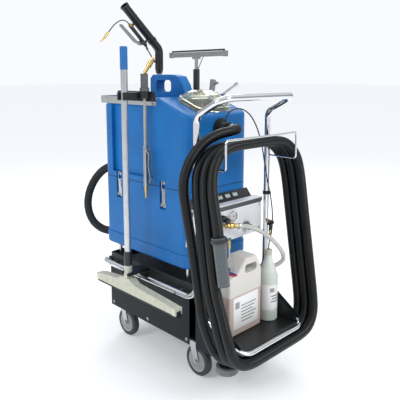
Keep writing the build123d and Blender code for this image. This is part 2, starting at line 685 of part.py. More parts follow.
def wand_lever():
    """The long grey trigger of the wand's valve."""
    spots = [(97, 58), (97, 67), (130, 80), (236, 83), (240, 78), (132, 73), (108, 62)]
    corners = [wand_point(a, n) for a, n in spots]
    face = make_face(Polyline(*[(p.X, p.Z) for p in corners], close=True))
    lever = Pos(0, WAND_Y + 11, 0) * extrude(Plane.XZ * face, 22)
    pin_at = wand_point(100, 62)
    eye = rod((pin_at.X, WAND_Y - 11, pin_at.Z), (pin_at.X, WAND_Y + 11, pin_at.Z), 5)
    hole = rod((pin_at.X, WAND_Y - 12, pin_at.Z), (pin_at.X, WAND_Y + 12, pin_at.Z), 2.02)
    return lever + eye - hole


def spare_tools():
    """A grey dosing head and a short steel nozzle parked behind the lid."""
    head = rod((184, 106, 1100), (200, 112, 1168), 13) + rod((196, 100, 1150), (196, 80, 1156), 6)
    foot = box(TANK_HALF_X - 9, 190, 98, 112, 1080, 1100)
    tube = rod((168, 20, 1108), (214, -6, 1146), 7)
    tip = rod((214, -6, 1146), (224, -12, 1154), 10)
    base = box(160, 176, 12, 28, 1085, 1110)
    return [head + foot, tube + base, tip]


# Hoses and tubes.

def loop_point(x, up, out):
    """A point on the leaning hose coil: across, up its plane, and out towards the operator."""
    lean = math.atan2(121, 775)
    rise = Vector(0, math.sin(lean), math.cos(lean))
    face = Vector(0, -math.cos(lean), math.sin(lean))
    return Vector(x, 0, 0) + Vector(0, -329.5, 545.5) + rise * up + face * out


def hose_coil():
    """Three turns of suction hose as one ring, with a notch for the hose's free end."""
    origin, face = loop_point(0, 0, 0), loop_point(0, 0, 1) - loop_point(0, 0, 0)
    plane = Plane(origin=origin, x_dir=(1, 0, 0), z_dir=face)
    outer = loop_outline(0, 160, 128)
    inner = loop_outline(HOSE_D, 122, 90)
    ring = extrude(outer - inner, 1.5 * HOSE_D, both=True)
    notch = Pos(-COIL_WIDTH / 2, 5, 1.5 * HOSE_D + 20) * Box(120, 180, 2 * (HOSE_D + 20))
    return plane * (ring - notch)


def loop_outline(inset, top_radius, foot_radius):
    """The coil's rounded outline: wide corners at the top and tighter ones at the foot."""
    x, y = COIL_WIDTH / 2 - inset, COIL_HEIGHT / 2 - inset
    corners = [(-x, -y), (x, -y), (x, y), (-x, y)]
    radii = [foot_radius, foot_radius, top_radius, top_radius]
    return make_face(FilletPolyline(*corners, radius=radii, close=True))


def hose_cuff():
    """The sleeve on the hose's free end, its clamp ring and clamp screw."""
    x, out = -260, 46
    sleeve = rod(loop_point(x, 88, out), loop_point(x, -78, out), 24, 21)
    sleeve = sleeve - rod(loop_point(x, 95, out), loop_point(x, -85, out), 16)
    ring = rod(loop_point(x, 92, out), loop_point(x, 74, out), 26) - rod(
        loop_point(x, 100, out), loop_point(x, 70, out), 24.2)
    screw = rod(loop_point(x + 8, 83, out + 30), loop_point(x + 30, 83, out + 26), 4)
    return [sleeve, ring, screw]


LEAD_ROUTE = [(0, -165, 980), (0, -205, 983), (-28, -238, 986), (-78, -246, 984), (-148, -241, 976),
              (-214, -234, 949), (-268, -222, 888), (-284, -206, 806), (-274, -217, 700),
              (-265, -238, 575), (-262, -261, 440), (-262, -284, 315), (-247, -318, 222)]
REAR_ROUTE = [(-91, 448, 765), (-96, 492, 764), (-114, 540, 742), (-141, 578, 690), (-163, 598, 620),
              (-169, 598, 550), (-159, 576, 490), (-135, 538, 455), (-111, 495, 447), (-96, 451, 456)]
OUTLET_ROUTE = [(-12, -224, 604), (32, -240, 598), (82, -254, 575), (132, -272, 540), (178, -288, 492),
                (206, -294, 450), (221, -283, 418), (214, -256, 392), (184, -231, 378), (144, -217, 368),
                (108, -218, 356), (84, -203, 346)]
DOSING_ROUTE = [(-34, -205, 510), (-38, -211, 492), (-58, -228, 482), (-82, -240, 482), (-95, -244, 474),
                (-96, -244, 456)]
DEFOAMER_ROUTE = [(0, -150, 1012), (3, -152, 1034), (24, -162, 1056), (64, -178, 1060), (108, -190, 1030),
                  (144, -196, 972), (170, -199, 902), (183, -203, 828), (192, -215, 748), (196, -234, 668),
                  (188, -248, 595), (168, -258, 538), (142, -265, 509), (133, -272, 484)]
PIGTAIL_ROUTE = [(14.5, 480, 1424.6), (0, 480, 1437), (-24, 480, 1443), (-54, 480, 1431),
                 (-84, 480, 1406), (-106, 480, 1379)]


def rear_ports():
    """The two flanges that the rear hose joins."""
    parts = []
    for x, y, z in ((-91, TANK_BACK_Y, 765), (-96, TANK_BACK_Y + 3, 456)):
        parts.append(rod((x, y, z), (x, y + 8, z), 26))
    return parts


def pigtail_connector():
    """The black sleeve and brass tip on the wand's thin hose."""
    start, mid, end = (-106, 480, 1379), (-126, 480, 1356), (-149, 480, 1337)
    return [rod(start, mid, 6.5, 5.5), rod(mid, end, 4.5, 2.5)]


def build():
    """Every node's name and its shape or list of shapes."""
    nodes = {
        "base_panels": base_panels() + bumper_stem(-ROLLER_X) + bumper_stem(ROLLER_X) + caster_plates(),
        "deck_tray": deck_tray(),
        "canister_basin": canister_basin(),
        "frame_left": frame_half(-1),
        "frame_right": frame_half(1),
        "push_handle": push_handle(),
        "guard_bar": guard_bar(),
        "hose_rack": hose_rack(),
        "bumper_roller_left": bumper_roller(-ROLLER_X),
        "bumper_roller_right": bumper_roller(ROLLER_X),
        "solution_tank": solution_tank(),
        "recovery_tank": recovery_tank(),
        "tank_seals": tank_seals(),
        "tank_lid": tank_lid(),
        "steel_fittings": steel_fittings(),
        "hose_port": hose_port() + rear_ports(),
        "motor_and_pump": motor_and_pump(),
        "control_box": control_box(),
        "switch_panel": switch_panel(),
        "pressure_gauge": pressure_gauge(),
        "regulator_knob": regulator_knob(),
        "brass_fittings": brass_fittings(),
        "tap_lever": tap_lever(),
        "canister": canister(),
        "bottle": bottle(),
        "tool_clips": tool_clips(),
        "floor_squeegee_pole": floor_squeegee_pole(),
        "floor_squeegee_head": floor_squeegee_head(),
        "window_squeegee": window_squeegee(),
        "spray_gun": spray_gun(),
        "gun_trigger": gun_trigger(),
        "wand_tube": wand_tube(),
        "wand_valve": wand_valve(),
        "wand_lever": wand_lever(),
        "spare_tools": spare_tools(),
        "hose_coil": hose_coil(),
        "hose_cuff": hose_cuff(),
        "hose_lead": cord("hose_lead", LEAD_ROUTE, HOSE_D),
        "rear_hose": cord("rear_hose", REAR_ROUTE, HOSE_D),
        "outlet_hose": cord("outlet_hose", OUTLET_ROUTE, 18),
        "dosing_tube": cord("dosing_tube", DOSING_ROUTE, 7),
        "defoamer_tube": cord("defoamer_tube", DEFOAMER_ROUTE, 5),
        "wand_pigtail": cord("wand_pigtail", PIGTAIL_ROUTE, 5),
        "pigtail_connector": pigtail_connector(),
    }
    for name, (x, y) in caster_spots().items():
        nodes["caster_fork_" + name] = caster_fork(x, y, name.startswith("front"))
        nodes["caster_wheel_" + name] = caster_wheel(x, y)
    for side, side_name in ((-1, "left"), (1, "right")):
        for y, end_name in zip(LATCH_Y, ("front", "rear")):
            nodes["tank_latch_" + end_name + "_" + side_name] = tank_latch(side, y)
    for number, x in enumerate(rocker_places(), 1):
        nodes["rocker_switch_" + str(number)] = rocker_switch(x)
    return nodes


def write_nodes(nodes):
    """Write each node as one STEP file."""
    os.makedirs("parts", exist_ok=True)
    for name, shape in nodes.items():
        pieces = shape if isinstance(shape, list) else [shape]
        solids = [solid for piece in pieces for solid in piece.solids()]
        export_step(Compound(label=name, children=solids), "parts/" + name + ".step")
    print(len(nodes), "nodes")


write_nodes(build())
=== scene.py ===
import json
import math

import bmesh
import bpy
from bpy.props import FloatProperty, FloatVectorProperty, IntProperty, PointerProperty
from mathutils import Matrix, Vector


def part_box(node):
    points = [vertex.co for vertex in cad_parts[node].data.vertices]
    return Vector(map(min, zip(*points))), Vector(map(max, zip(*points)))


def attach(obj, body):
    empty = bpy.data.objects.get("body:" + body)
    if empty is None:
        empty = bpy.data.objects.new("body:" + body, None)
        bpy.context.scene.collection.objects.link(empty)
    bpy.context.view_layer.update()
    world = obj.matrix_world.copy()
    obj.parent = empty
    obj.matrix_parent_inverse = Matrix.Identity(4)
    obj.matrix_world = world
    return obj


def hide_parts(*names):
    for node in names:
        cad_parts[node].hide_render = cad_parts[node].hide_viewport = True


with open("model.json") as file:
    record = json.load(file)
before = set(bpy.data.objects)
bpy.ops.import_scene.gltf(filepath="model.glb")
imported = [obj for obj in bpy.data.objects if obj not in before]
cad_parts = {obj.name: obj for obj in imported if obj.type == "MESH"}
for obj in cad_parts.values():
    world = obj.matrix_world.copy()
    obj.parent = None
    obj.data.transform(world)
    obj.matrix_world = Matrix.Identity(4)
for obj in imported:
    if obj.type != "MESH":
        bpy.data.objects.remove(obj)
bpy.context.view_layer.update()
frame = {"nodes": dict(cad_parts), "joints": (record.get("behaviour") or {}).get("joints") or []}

bl_info = {
    "name": "Carpet Cleaning Trolley",
    "version": (1, 0, 0),
    "blender": (4, 5, 0),
    "location": "View3D > Sidebar > Cleaner",
    "description": "Finishes, hoses and small parts for a wheeled spray and suction cleaning machine",
    "category": "Object",
}

NODES = frame["nodes"]
JOINTS = {joint["name"]: joint for joint in frame["joints"]}
CORNERS = ("front_left", "front_right", "rear_left", "rear_right")


def colour(name, about, default):
    """A linear colour that a user can change."""
    return FloatVectorProperty(name=name, description=about, default=default, size=3,
                               min=0.0, max=1.0, subtype="COLOR")


def size(name, about, default):
    """A length in metres that a user can change."""
    return FloatProperty(name=name, description=about, default=default, min=0.0, unit="LENGTH")


class CLEANER_PG_finishes(bpy.types.PropertyGroup):
    """Colours of the machine's main materials."""
    tank_blue: colour("Tank blue", "Moulded tanks and the squeegee grip", (0.007, 0.140, 0.420))
    panel: colour("Panel", "Coated sheet of the base", (0.006, 0.010, 0.013))
    trim: colour("Trim", "Black moulded parts", (0.007, 0.008, 0.009))
    hose: colour("Hose", "Ribbed suction hose", (0.004, 0.005, 0.0055))
    steel: colour("Steel", "Stainless strips and channels", (0.60, 0.61, 0.62))
    brass: colour("Brass", "Taps, couplings and nozzles", (0.62, 0.44, 0.17))
    box: colour("Box", "Front of the control box", (0.78, 0.80, 0.83))
    squeegee: colour("Squeegee", "Moulded floor squeegee", (0.58, 0.58, 0.47))
    canister: colour("Canister", "Translucent containers", (0.80, 0.78, 0.73))
    liquid: colour("Liquid", "What shows through the canister", (0.62, 0.49, 0.44))


class CLEANER_PG_sizes(bpy.types.PropertyGroup):
    """Sizes of the parts that are made here."""
    hose: size("Hose", "Diameter of the suction hose", 0.038)
    rib: size("Rib", "Spacing of the hose's ribs", 0.0062)
    groove: size("Groove", "Depth between the hose's ribs", 0.0016)
    screw: size("Screw", "Radius of the panel screws", 0.0055)
    turns: IntProperty(name="Turns", description="Turns of the parked hose", default=3, min=3, max=3)


class CLEANER_PG_stage(bpy.types.PropertyGroup):
    """The floor, the lights and the camera."""
    floor: colour("Floor", "Plain pale floor", (0.86, 0.87, 0.88))
    eye: FloatVectorProperty(name="Eye", description="Camera place", size=3,
                             default=(-1.495, -1.524, 1.188), subtype="XYZ", unit="LENGTH")
    lens: FloatProperty(name="Lens", description="Focal length in millimetres", default=46.54)
    tilt: FloatProperty(name="Tilt", description="How far the camera looks down",
                        default=math.radians(8.645), subtype="ANGLE")
    turn: FloatProperty(name="Turn", description="Which way the camera faces", default=math.radians(-44.575),
                        subtype="ANGLE")
    shift: FloatProperty(name="Shift", description="Vertical lens shift", default=-0.115)


# Shader sums: a socket that takes part in Python expressions.

class Wire:
    """A shader value or colour whose operators add Math nodes."""

    def __init__(self, finish, socket):
        self.finish = finish
        self.socket = socket

    def sum(self, operation, first, second=0.0):
        return self.finish.node("ShaderNodeMath", {"operation": operation}, {0: first, 1: second})

    def __add__(self, other):
        return self.sum("ADD", self, other)

    __radd__ = __add__

    def __mul__(self, other):
        return self.sum("MULTIPLY", self, other)

    __rmul__ = __mul__

    def __sub__(self, other):
        return self.sum("SUBTRACT", self, other)

    def __rsub__(self, other):
        return self.sum("SUBTRACT", other, self)

    def __gt__(self, edge):
        return self.sum("GREATER_THAN", self, edge)

    def __lt__(self, edge):
        return self.sum("LESS_THAN", self, edge)

    def __abs__(self):
        return self.sum("ABSOLUTE", self)

    def power(self, exponent):
        return self.sum("POWER", self, exponent)

    def wave(self):
        return self.sum("SINE", self) * 0.5 + 0.5

    def clip(self, low, high):
        """From 0 at low to 1 at high, clamped."""
        return self.finish.node("ShaderNodeMapRange", {"clamp": True},
                                {"Value": self, "From Min": low, "From Max": high})


class Finish:
    """One material under construction, on a Principled shader."""

    def __init__(self, name, **constants):
        self.material = bpy.data.materials.new(name)
        self.material.use_nodes = True
        self.tree = self.material.node_tree
        self.shader = self.tree.nodes["Principled BSDF"]
        self.output = self.tree.nodes["Material Output"]
        self.set(**constants)
        self.place = self.node("ShaderNodeTexCoord", out="Object")

    def node(self, kind, settings=None, inputs=None, out=0):
        """Adds a node: its settings first, then the values or links of its sockets."""
        node = self.tree.nodes.new(kind)
        for key, value in (settings or {}).items():
            setattr(node, key, value)
        for key, value in (inputs or {}).items():
            self.feed(node.inputs[key], value)
        return Wire(self, node.outputs[out])

    def feed(self, socket, value):
        if isinstance(value, Wire):
            self.tree.links.new(value.socket, socket)
        elif socket.type == "RGBA" and len(value) == 3:
            socket.default_value = (*value, 1.0)
        else:
            socket.default_value = value

    def set(self, **sockets):
        """Sets or links the shader's sockets: base_color feeds Base Color."""
        for key, value in sockets.items():
            self.feed(self.shader.inputs[key.replace("_", " ").title().replace("Ior", "IOR")], value)

    def axis(self, letter):
        """One coordinate of the piece, in metres."""
        split = self.tree.nodes.new("ShaderNodeSeparateXYZ")
        self.tree.links.new(self.place.socket, split.inputs[0])
        return Wire(self, split.outputs["XYZ".index(letter)])

    def stretched(self, scale):
        """The piece's coordinates, scaled along each axis."""
        return self.node("ShaderNodeMapping", {}, {"Vector": self.place, "Scale": scale})

    def noise(self, scale, detail=3.0, roughness=0.55, stretch=None):
        """Smooth noise; the scale is in spots per metre."""
        place = self.stretched(stretch) if stretch else self.place
        return self.node("ShaderNodeTexNoise", {}, {"Vector": place, "Scale": scale, "Detail": detail,
                                                    "Roughness": roughness})

    def grain(self, scale):
        """Small cells, as in moulded or coated grain."""
        return self.node("ShaderNodeTexVoronoi", {}, {"Vector": self.place, "Scale": scale})

    def mix(self, factor, first, second):
        """Blends two colours."""
        return self.node("ShaderNodeMix", {"data_type": "RGBA"}, {0: factor, 6: first, 7: second}, out=2)

    def bump(self, height, strength, distance, under=None):
        """Raises the surface, on top of another bump where one is given."""
        inputs = {"Height": height, "Strength": strength, "Distance": distance}
        if under is not None:
            inputs["Normal"] = under
        return self.node("ShaderNodeBump", {}, inputs)

    def worn(self, base, lighter, scale=14.0):
        """A colour with soft cloudy variation."""
        return self.mix(self.noise(scale).clip(0.35, 0.72), base, lighter)


def shade(tone, factor):
    """A colour made lighter or darker."""
    return tuple(min(1.0, part * factor) for part in tone)


# Finishes.

def coated_sheet(name, tone, rough=0.42):
    """Powder-coated sheet: fine orange peel, cloudy gloss and a little dust."""
    finish = Finish(name, specular_ior_level=0.22)
    cloud = finish.noise(9.0, 4.0)
    dust = finish.noise(60.0, 5.0).clip(0.55, 0.8) * 0.10
    finish.set(base_color=finish.mix(dust + cloud.clip(0.4, 0.8) * 0.12, tone, shade(tone, 2.6)),
               roughness=cloud * 0.14 + (rough - 0.05))
    finish.set(normal=finish.bump(finish.noise(900.0, 2.0), 0.25, 0.0004))
    return finish.material


def moulded(name, tone, rough=0.5, grain=1400.0, coat=0.0):
    """Moulded plastic: leathery grain, slight mottling and polished rubbing marks."""
    finish = Finish(name, coat_weight=coat)
    cloud = finish.noise(18.0, 4.0)
    finish.set(base_color=finish.worn(tone, shade(tone, 1.35)), roughness=cloud * 0.2 + (rough - 0.1))
    finish.set(normal=finish.bump(finish.grain(grain), 0.12, 0.0003))
    return finish.material


def rotomoulded_blue(tone):
    """Rotomoulded tank blue: soft orange peel, cloudy depth and fine rubbing scratches."""
    finish = Finish("tank_blue", specular_ior_level=0.25, coat_weight=0.08, coat_roughness=0.3)
    cloud = finish.noise(5.0, 5.0, 0.6)
    speck = finish.noise(260.0, 2.0).clip(0.58, 0.75) * 0.25
    scratch = finish.noise(40.0, 6.0, 0.7, stretch=(1.0, 1.0, 9.0)).clip(0.66, 0.72) * 0.22
    body = finish.mix(cloud.clip(0.3, 0.75), shade(tone, 0.86), shade(tone, 1.18))
    body = finish.mix(speck, body, shade(tone, 0.72))
    finish.set(base_color=finish.mix(scratch, body, shade(tone, 2.1)),
               roughness=cloud * 0.16 + scratch * 0.5 + 0.33)
    peel = finish.bump(finish.noise(240.0, 3.0), 0.18, 0.0012)
    finish.set(normal=finish.bump(finish.noise(22.0, 2.0), 0.22, 0.003, peel))
    return finish.material


def chromed(name, tone=(0.80, 0.81, 0.83), rough=0.09):
    """Polished chrome tube with faint smears and wiping marks."""
    finish = Finish(name, metallic=1.0)
    smear = finish.noise(11.0, 4.0)
    fleck = finish.noise(420.0, 2.0).clip(0.62, 0.75)
    finish.set(base_color=finish.mix(smear.clip(0.35, 0.75), shade(tone, 0.9), tone),
               roughness=smear * 0.10 + fleck * 0.12 + (rough - 0.04))
    finish.set(normal=finish.bump(finish.noise(30.0, 2.0), 0.05, 0.0006))
    return finish.material


def brushed(name, tone, rough=0.3, stretch=(1.0, 1.0, 30.0)):
    """Brushed or turned metal: long fine lines, with darker handling marks."""
    finish = Finish(name, metallic=1.0)
    lines = finish.noise(160.0, 4.0, 0.7, stretch=stretch)
    mark = finish.noise(16.0, 4.0)
    finish.set(base_color=finish.mix(mark.clip(0.4, 0.75) * 0.6, tone, shade(tone, 0.72)),
               roughness=lines * 0.16 + mark * 0.12 + (rough - 0.12))
    finish.set(normal=finish.bump(lines, 0.08, 0.0004))
    return finish.material


def hose_rubber(tone):
    """Ribbed hose: soft black plastic with a sheen and dust in places."""
    finish = Finish("hose_black", specular_ior_level=0.2, coat_weight=0.22, coat_roughness=0.16)
    dust = finish.noise(24.0, 5.0)
    finish.set(base_color=finish.mix(dust.clip(0.45, 0.8) * 0.3, tone, shade(tone, 2.6)),
               roughness=dust * 0.14 + 0.27)
    finish.set(normal=finish.bump(finish.noise(700.0, 2.0), 0.06, 0.0003))
    return finish.material


def layered(finish, base, layers):
    """Finishes laid one over another: each layer is (mask, colour, roughness, metallic)."""
    tone, rough, metal = base
    for mask, next_tone, next_rough, next_metal in layers:
        tone = finish.mix(mask, tone, next_tone)
        rough = mask * next_rough + (1.0 - mask) * rough
        metal = mask * next_metal + (1.0 - mask) * metal
    return tone, rough, metal


def banded(name, bands):
    """A part whose finish changes with height: bands are (start, colour, roughness, metallic)."""
    finish = Finish(name)
    height = finish.axis("Z")
    cloud = finish.noise(40.0, 4.0)
    base, *others = bands
    tone, rough, metal = layered(finish, base[1:], [(height > start, *look) for start, *look in others])
    finish.set(base_color=finish.mix(cloud.clip(0.45, 0.8) * 0.12, tone, (0.02, 0.02, 0.02)),
               roughness=cloud * 0.12 + rough - 0.06, metallic=metal)
    finish.set(normal=finish.bump(finish.noise(600.0, 3.0), 0.07, 0.0004))
    return finish.material


def castor_wheel_finish(name, centre, tyre=0.0442):
    """One wheel: dark tyre outside the rim, pale moulded hub with fine turned rings inside."""
    finish = Finish(name)
    across = finish.axis("Y") - centre[1]
    up = finish.axis("Z") - centre[2]
    radius = (across * across + up * up).power(0.5)
    outer = radius > tyre
    speck = finish.noise(300.0, 4.0)
    groove = (radius * 1900.0).wave()
    hub = finish.mix(groove * 0.5, (0.46, 0.47, 0.48), (0.26, 0.27, 0.28))
    rubber = finish.mix(speck.clip(0.4, 0.8) * 0.5, (0.035, 0.036, 0.04), (0.09, 0.09, 0.095))
    finish.set(base_color=finish.mix(outer, hub, rubber), roughness=outer * 0.2 + speck * 0.15 + 0.36)
    finish.set(normal=finish.bump(speck + (1.0 - outer) * groove * 0.6, 0.15, 0.0005))
    return finish.material


def clear_polycarbonate():
    """The lid's smoke-yellow clear moulding, lightly scuffed."""
    finish = Finish("clear_lid", transmission_weight=0.9, ior=1.16)
    scuff = finish.noise(30.0, 6.0, 0.7)
    finish.set(base_color=finish.mix(scuff.clip(0.5, 0.8), (0.93, 0.93, 0.80), (0.84, 0.84, 0.72)),
               roughness=scuff.clip(0.5, 0.85) * 0.10 + 0.04)
    finish.set(normal=finish.bump(finish.noise(60.0, 2.0), 0.03, 0.0003))
    return finish.material


def milky(name, tone, liquid, level, cap_tone, cap_from, cap_x=None):
    """Translucent container plastic, darker below its liquid line, with a coloured cap.

    A cap that is only on one side, below cap_x, stands on a red tamper ring.
    """
    finish = Finish(name, subsurface_weight=0.25, subsurface_scale=0.01, transmission_weight=0.12)
    height = finish.axis("Z")
    cloud = finish.noise(22.0, 4.0)
    wet = 1.0 - height.clip(level - 0.0008, level + 0.0008)
    body = finish.mix(wet, tone, liquid)
    body = finish.mix(cloud.clip(0.35, 0.8) * 0.25, body, shade(tone, 0.82))
    cap = height > cap_from
    if cap_x is not None:
        beside = finish.axis("X") < cap_x
        cap = cap * beside
        ring = (height > cap_from - 0.004) * (height < cap_from) * beside
        body = finish.mix(ring, body, (0.55, 0.05, 0.06))
    finish.set(base_color=finish.mix(cap, body, cap_tone), roughness=cloud * 0.15 + 0.34)
    finish.set(normal=finish.bump(finish.noise(160.0, 3.0), 0.12, 0.0008))
    return finish.material


def braided_tube(name, tone, rough=0.3, see_through=0.35):
    """Soft translucent tube with faint thread lines."""
    finish = Finish(name, transmission_weight=see_through, ior=1.45)
    cloud = finish.noise(60.0, 4.0)
    thread = (finish.axis("X") * 2600.0 + finish.axis("Z") * 1900.0).wave()
    finish.set(base_color=finish.mix(thread * 0.3 + cloud.clip(0.4, 0.8) * 0.25, tone, shade(tone, 0.7)),
               roughness=cloud * 0.2 + (rough - 0.1))
    finish.set(normal=finish.bump(thread, 0.1, 0.0003))
    return finish.material


def within(finish, letters, low, high):
    """1 inside a box, 0 outside it."""
    inside = 1.0
    for letter, start, end in zip(letters, low, high):
        where = finish.axis(letter)
        inside = (where > start) * (where < end) * inside
    return inside


def fitting_patch(name, base, patches, soil=0.22):
    """A part in one finish with boxes of another: patches are (low, high, colour, rough, metallic)."""
    finish = Finish(name)
    cloud = finish.noise(70.0, 4.0)
    layers = [(within(finish, "XYZ", low, high), *look) for low, high, *look in patches]
    tone, rough, metal = layered(finish, base, layers)
    finish.set(base_color=finish.mix(cloud.clip(0.4, 0.8) * soil, tone, (0.03, 0.025, 0.02)),
               roughness=cloud * 0.16 + rough - 0.06, metallic=metal)
    finish.set(normal=finish.bump(finish.noise(500.0, 3.0), 0.08, 0.0004))
    return finish.material


# Hoses and tubes. Each route is a list of spline points, in metres.

LEAD_ROUTE = [(0, -0.165, 0.98), (0, -0.205, 0.983), (-0.028, -0.238, 0.986), (-0.078, -0.246, 0.984),
              (-0.148, -0.241, 0.976), (-0.214, -0.234, 0.949), (-0.268, -0.222, 0.888),
              (-0.284, -0.206, 0.806), (-0.274, -0.217, 0.7), (-0.265, -0.238, 0.575),
              (-0.262, -0.261, 0.44), (-0.262, -0.284, 0.315), (-0.247, -0.318, 0.222)]
REAR_ROUTE = [(-0.091, 0.448, 0.765), (-0.096, 0.492, 0.764), (-0.114, 0.54, 0.742),
              (-0.141, 0.578, 0.69), (-0.163, 0.598, 0.62), (-0.169, 0.598, 0.55), (-0.159, 0.576, 0.49),
              (-0.135, 0.538, 0.455), (-0.111, 0.495, 0.447), (-0.096, 0.451, 0.456)]
OUTLET_ROUTE = [(-0.012, -0.224, 0.604), (0.032, -0.24, 0.598), (0.082, -0.254, 0.575),
                (0.132, -0.272, 0.54), (0.178, -0.288, 0.492), (0.206, -0.294, 0.45),
                (0.221, -0.283, 0.418), (0.214, -0.256, 0.392), (0.184, -0.231, 0.378),
                (0.144, -0.217, 0.368), (0.108, -0.218, 0.356), (0.084, -0.203, 0.346)]
DOSING_ROUTE = [(-0.034, -0.205, 0.51), (-0.038, -0.211, 0.492), (-0.058, -0.228, 0.482),
                (-0.082, -0.24, 0.482), (-0.095, -0.244, 0.474), (-0.096, -0.244, 0.456)]
DEFOAMER_ROUTE = [(0, -0.15, 1.012), (0.003, -0.152, 1.034), (0.024, -0.162, 1.056),
                  (0.064, -0.178, 1.06), (0.108, -0.19, 1.03), (0.144, -0.196, 0.972),
                  (0.17, -0.199, 0.902), (0.183, -0.203, 0.828), (0.192, -0.215, 0.748),
                  (0.196, -0.234, 0.668), (0.188, -0.248, 0.595), (0.168, -0.258, 0.538),
                  (0.142, -0.265, 0.509), (0.133, -0.272, 0.484)]
PIGTAIL_ROUTE = [(0.0145, 0.48, 1.4246), (0, 0.48, 1.437), (-0.024, 0.48, 1.443), (-0.054, 0.48, 1.431),
                 (-0.084, 0.48, 1.406), (-0.106, 0.48, 1.379)]

# The parked hose hangs on the rack in a plane that leans towards the machine.
COIL_MIDDLE = Vector((0, -0.3295, 0.5455))
COIL_LEAN = math.atan2(121, 775)
COIL_HALF_X = 0.260
COIL_HALF_UP = 0.392
COIL_TOP_R = 0.141
COIL_FOOT_R = 0.109
LAYER = 0.0386
CORNER_SWELL = 1.03
CUFF_OUT = 0.046


def coil_point(x, up, out):
    """A point on the leaning coil: across, up its plane, and out towards the operator."""
    rise = Vector((0, math.sin(COIL_LEAN), math.cos(COIL_LEAN)))
    face = Vector((0, -math.cos(COIL_LEAN), math.sin(COIL_LEAN)))
    return COIL_MIDDLE + Vector((x, 0, 0)) + rise * up + face * out


def corner_points(side, level, start, out):
    """Points round one corner of the coil, from a start angle through a quarter turn."""
    radius = COIL_TOP_R if level > 0 else COIL_FOOT_R
    middle_x = side * (COIL_HALF_X - radius)
    middle_up = level * (COIL_HALF_UP - radius)
    points = []
    for step in range(4):
        angle = math.radians(start + 30 * step)
        reach = radius * (1.0 if step in (0, 3) else CORNER_SWELL)
        points.append(coil_point(middle_x + reach * math.cos(angle), middle_up + reach * math.sin(angle),
                                 out))
    return points


def coil_turns(turns):
    """The parked turns, anticlockwise from the foot of the left side, each in its own layer."""
    route = []
    for turn in range(turns):
        out = (turn - 1) * LAYER
        last = turn == turns - 1
        foot = corner_points(-1, -1, 180, out)
        route += foot[1:] if turn == 0 else foot
        route += [coil_point(x, -COIL_HALF_UP, out) for x in (-0.06, 0.06)]
        route += corner_points(1, -1, 270, out)
        route += [coil_point(COIL_HALF_X, up, out) for up in (-0.16, -0.02, 0.12)]
        route += corner_points(1, 1, 0, out)
        route += [coil_point(0, COIL_HALF_UP, out)]
        route += corner_points(-1, 1, 90, out)
        if last:
            route += [coil_point(-COIL_HALF_X, up, away) for up, away in
                      ((0.19, 0.041), (0.135, 0.0455), (0.104, CUFF_OUT), (0.089, CUFF_OUT))]
        else:
            route += [coil_point(-COIL_HALF_X, up, out) for up in (0.15, 0.03, -0.09)]
            route += [coil_point(-COIL_HALF_X, -0.19, out + LAYER * 0.5)]
    return route


def spline(name, route, radius=0.0):
    """A smooth open NURBS curve through space, round where a radius is given."""
    data = bpy.data.curves.new(name, "CURVE")
    data.dimensions = "3D"
    data.resolution_u = 10
    data.twist_mode = "MINIMUM"
    line = data.splines.new("NURBS")
    line.points.add(len(route) - 1)
    for point, place in zip(line.points, route):
        point.co = (*place, 1.0)
    line.order_u = 3
    line.use_endpoint_u = True
    data.bevel_depth = radius
    data.bevel_resolution = 4
    data.use_fill_caps = radius > 0
    piece = bpy.data.objects.new(name, data)
    bpy.context.scene.collection.objects.link(piece)
    return piece


def path_of(line):
    """The points that a bare curve follows, in order."""
    bpy.context.view_layer.update()
    mesh = bpy.data.meshes.new_from_object(line)
    points = [vertex.co.copy() for vertex in mesh.vertices]
    bpy.data.meshes.remove(mesh)
    return points


def run_length(points):
    """How long a line through the points is."""
    return sum((b - a).length for a, b in zip(points, points[1:]))


def new_piece(name, bm, material, smooth=True):
    """Turns a bmesh into a piece with closed, outward faces."""
    bmesh.ops.recalc_face_normals(bm, faces=bm.faces)
    mesh = bpy.data.meshes.new(name)
    bm.to_mesh(mesh)
    bm.free()
    mesh.materials.append(material)
    if smooth:
        mesh.shade_smooth()
    piece = bpy.data.objects.new(name, mesh)
    bpy.context.scene.collection.objects.link(piece)
    return piece


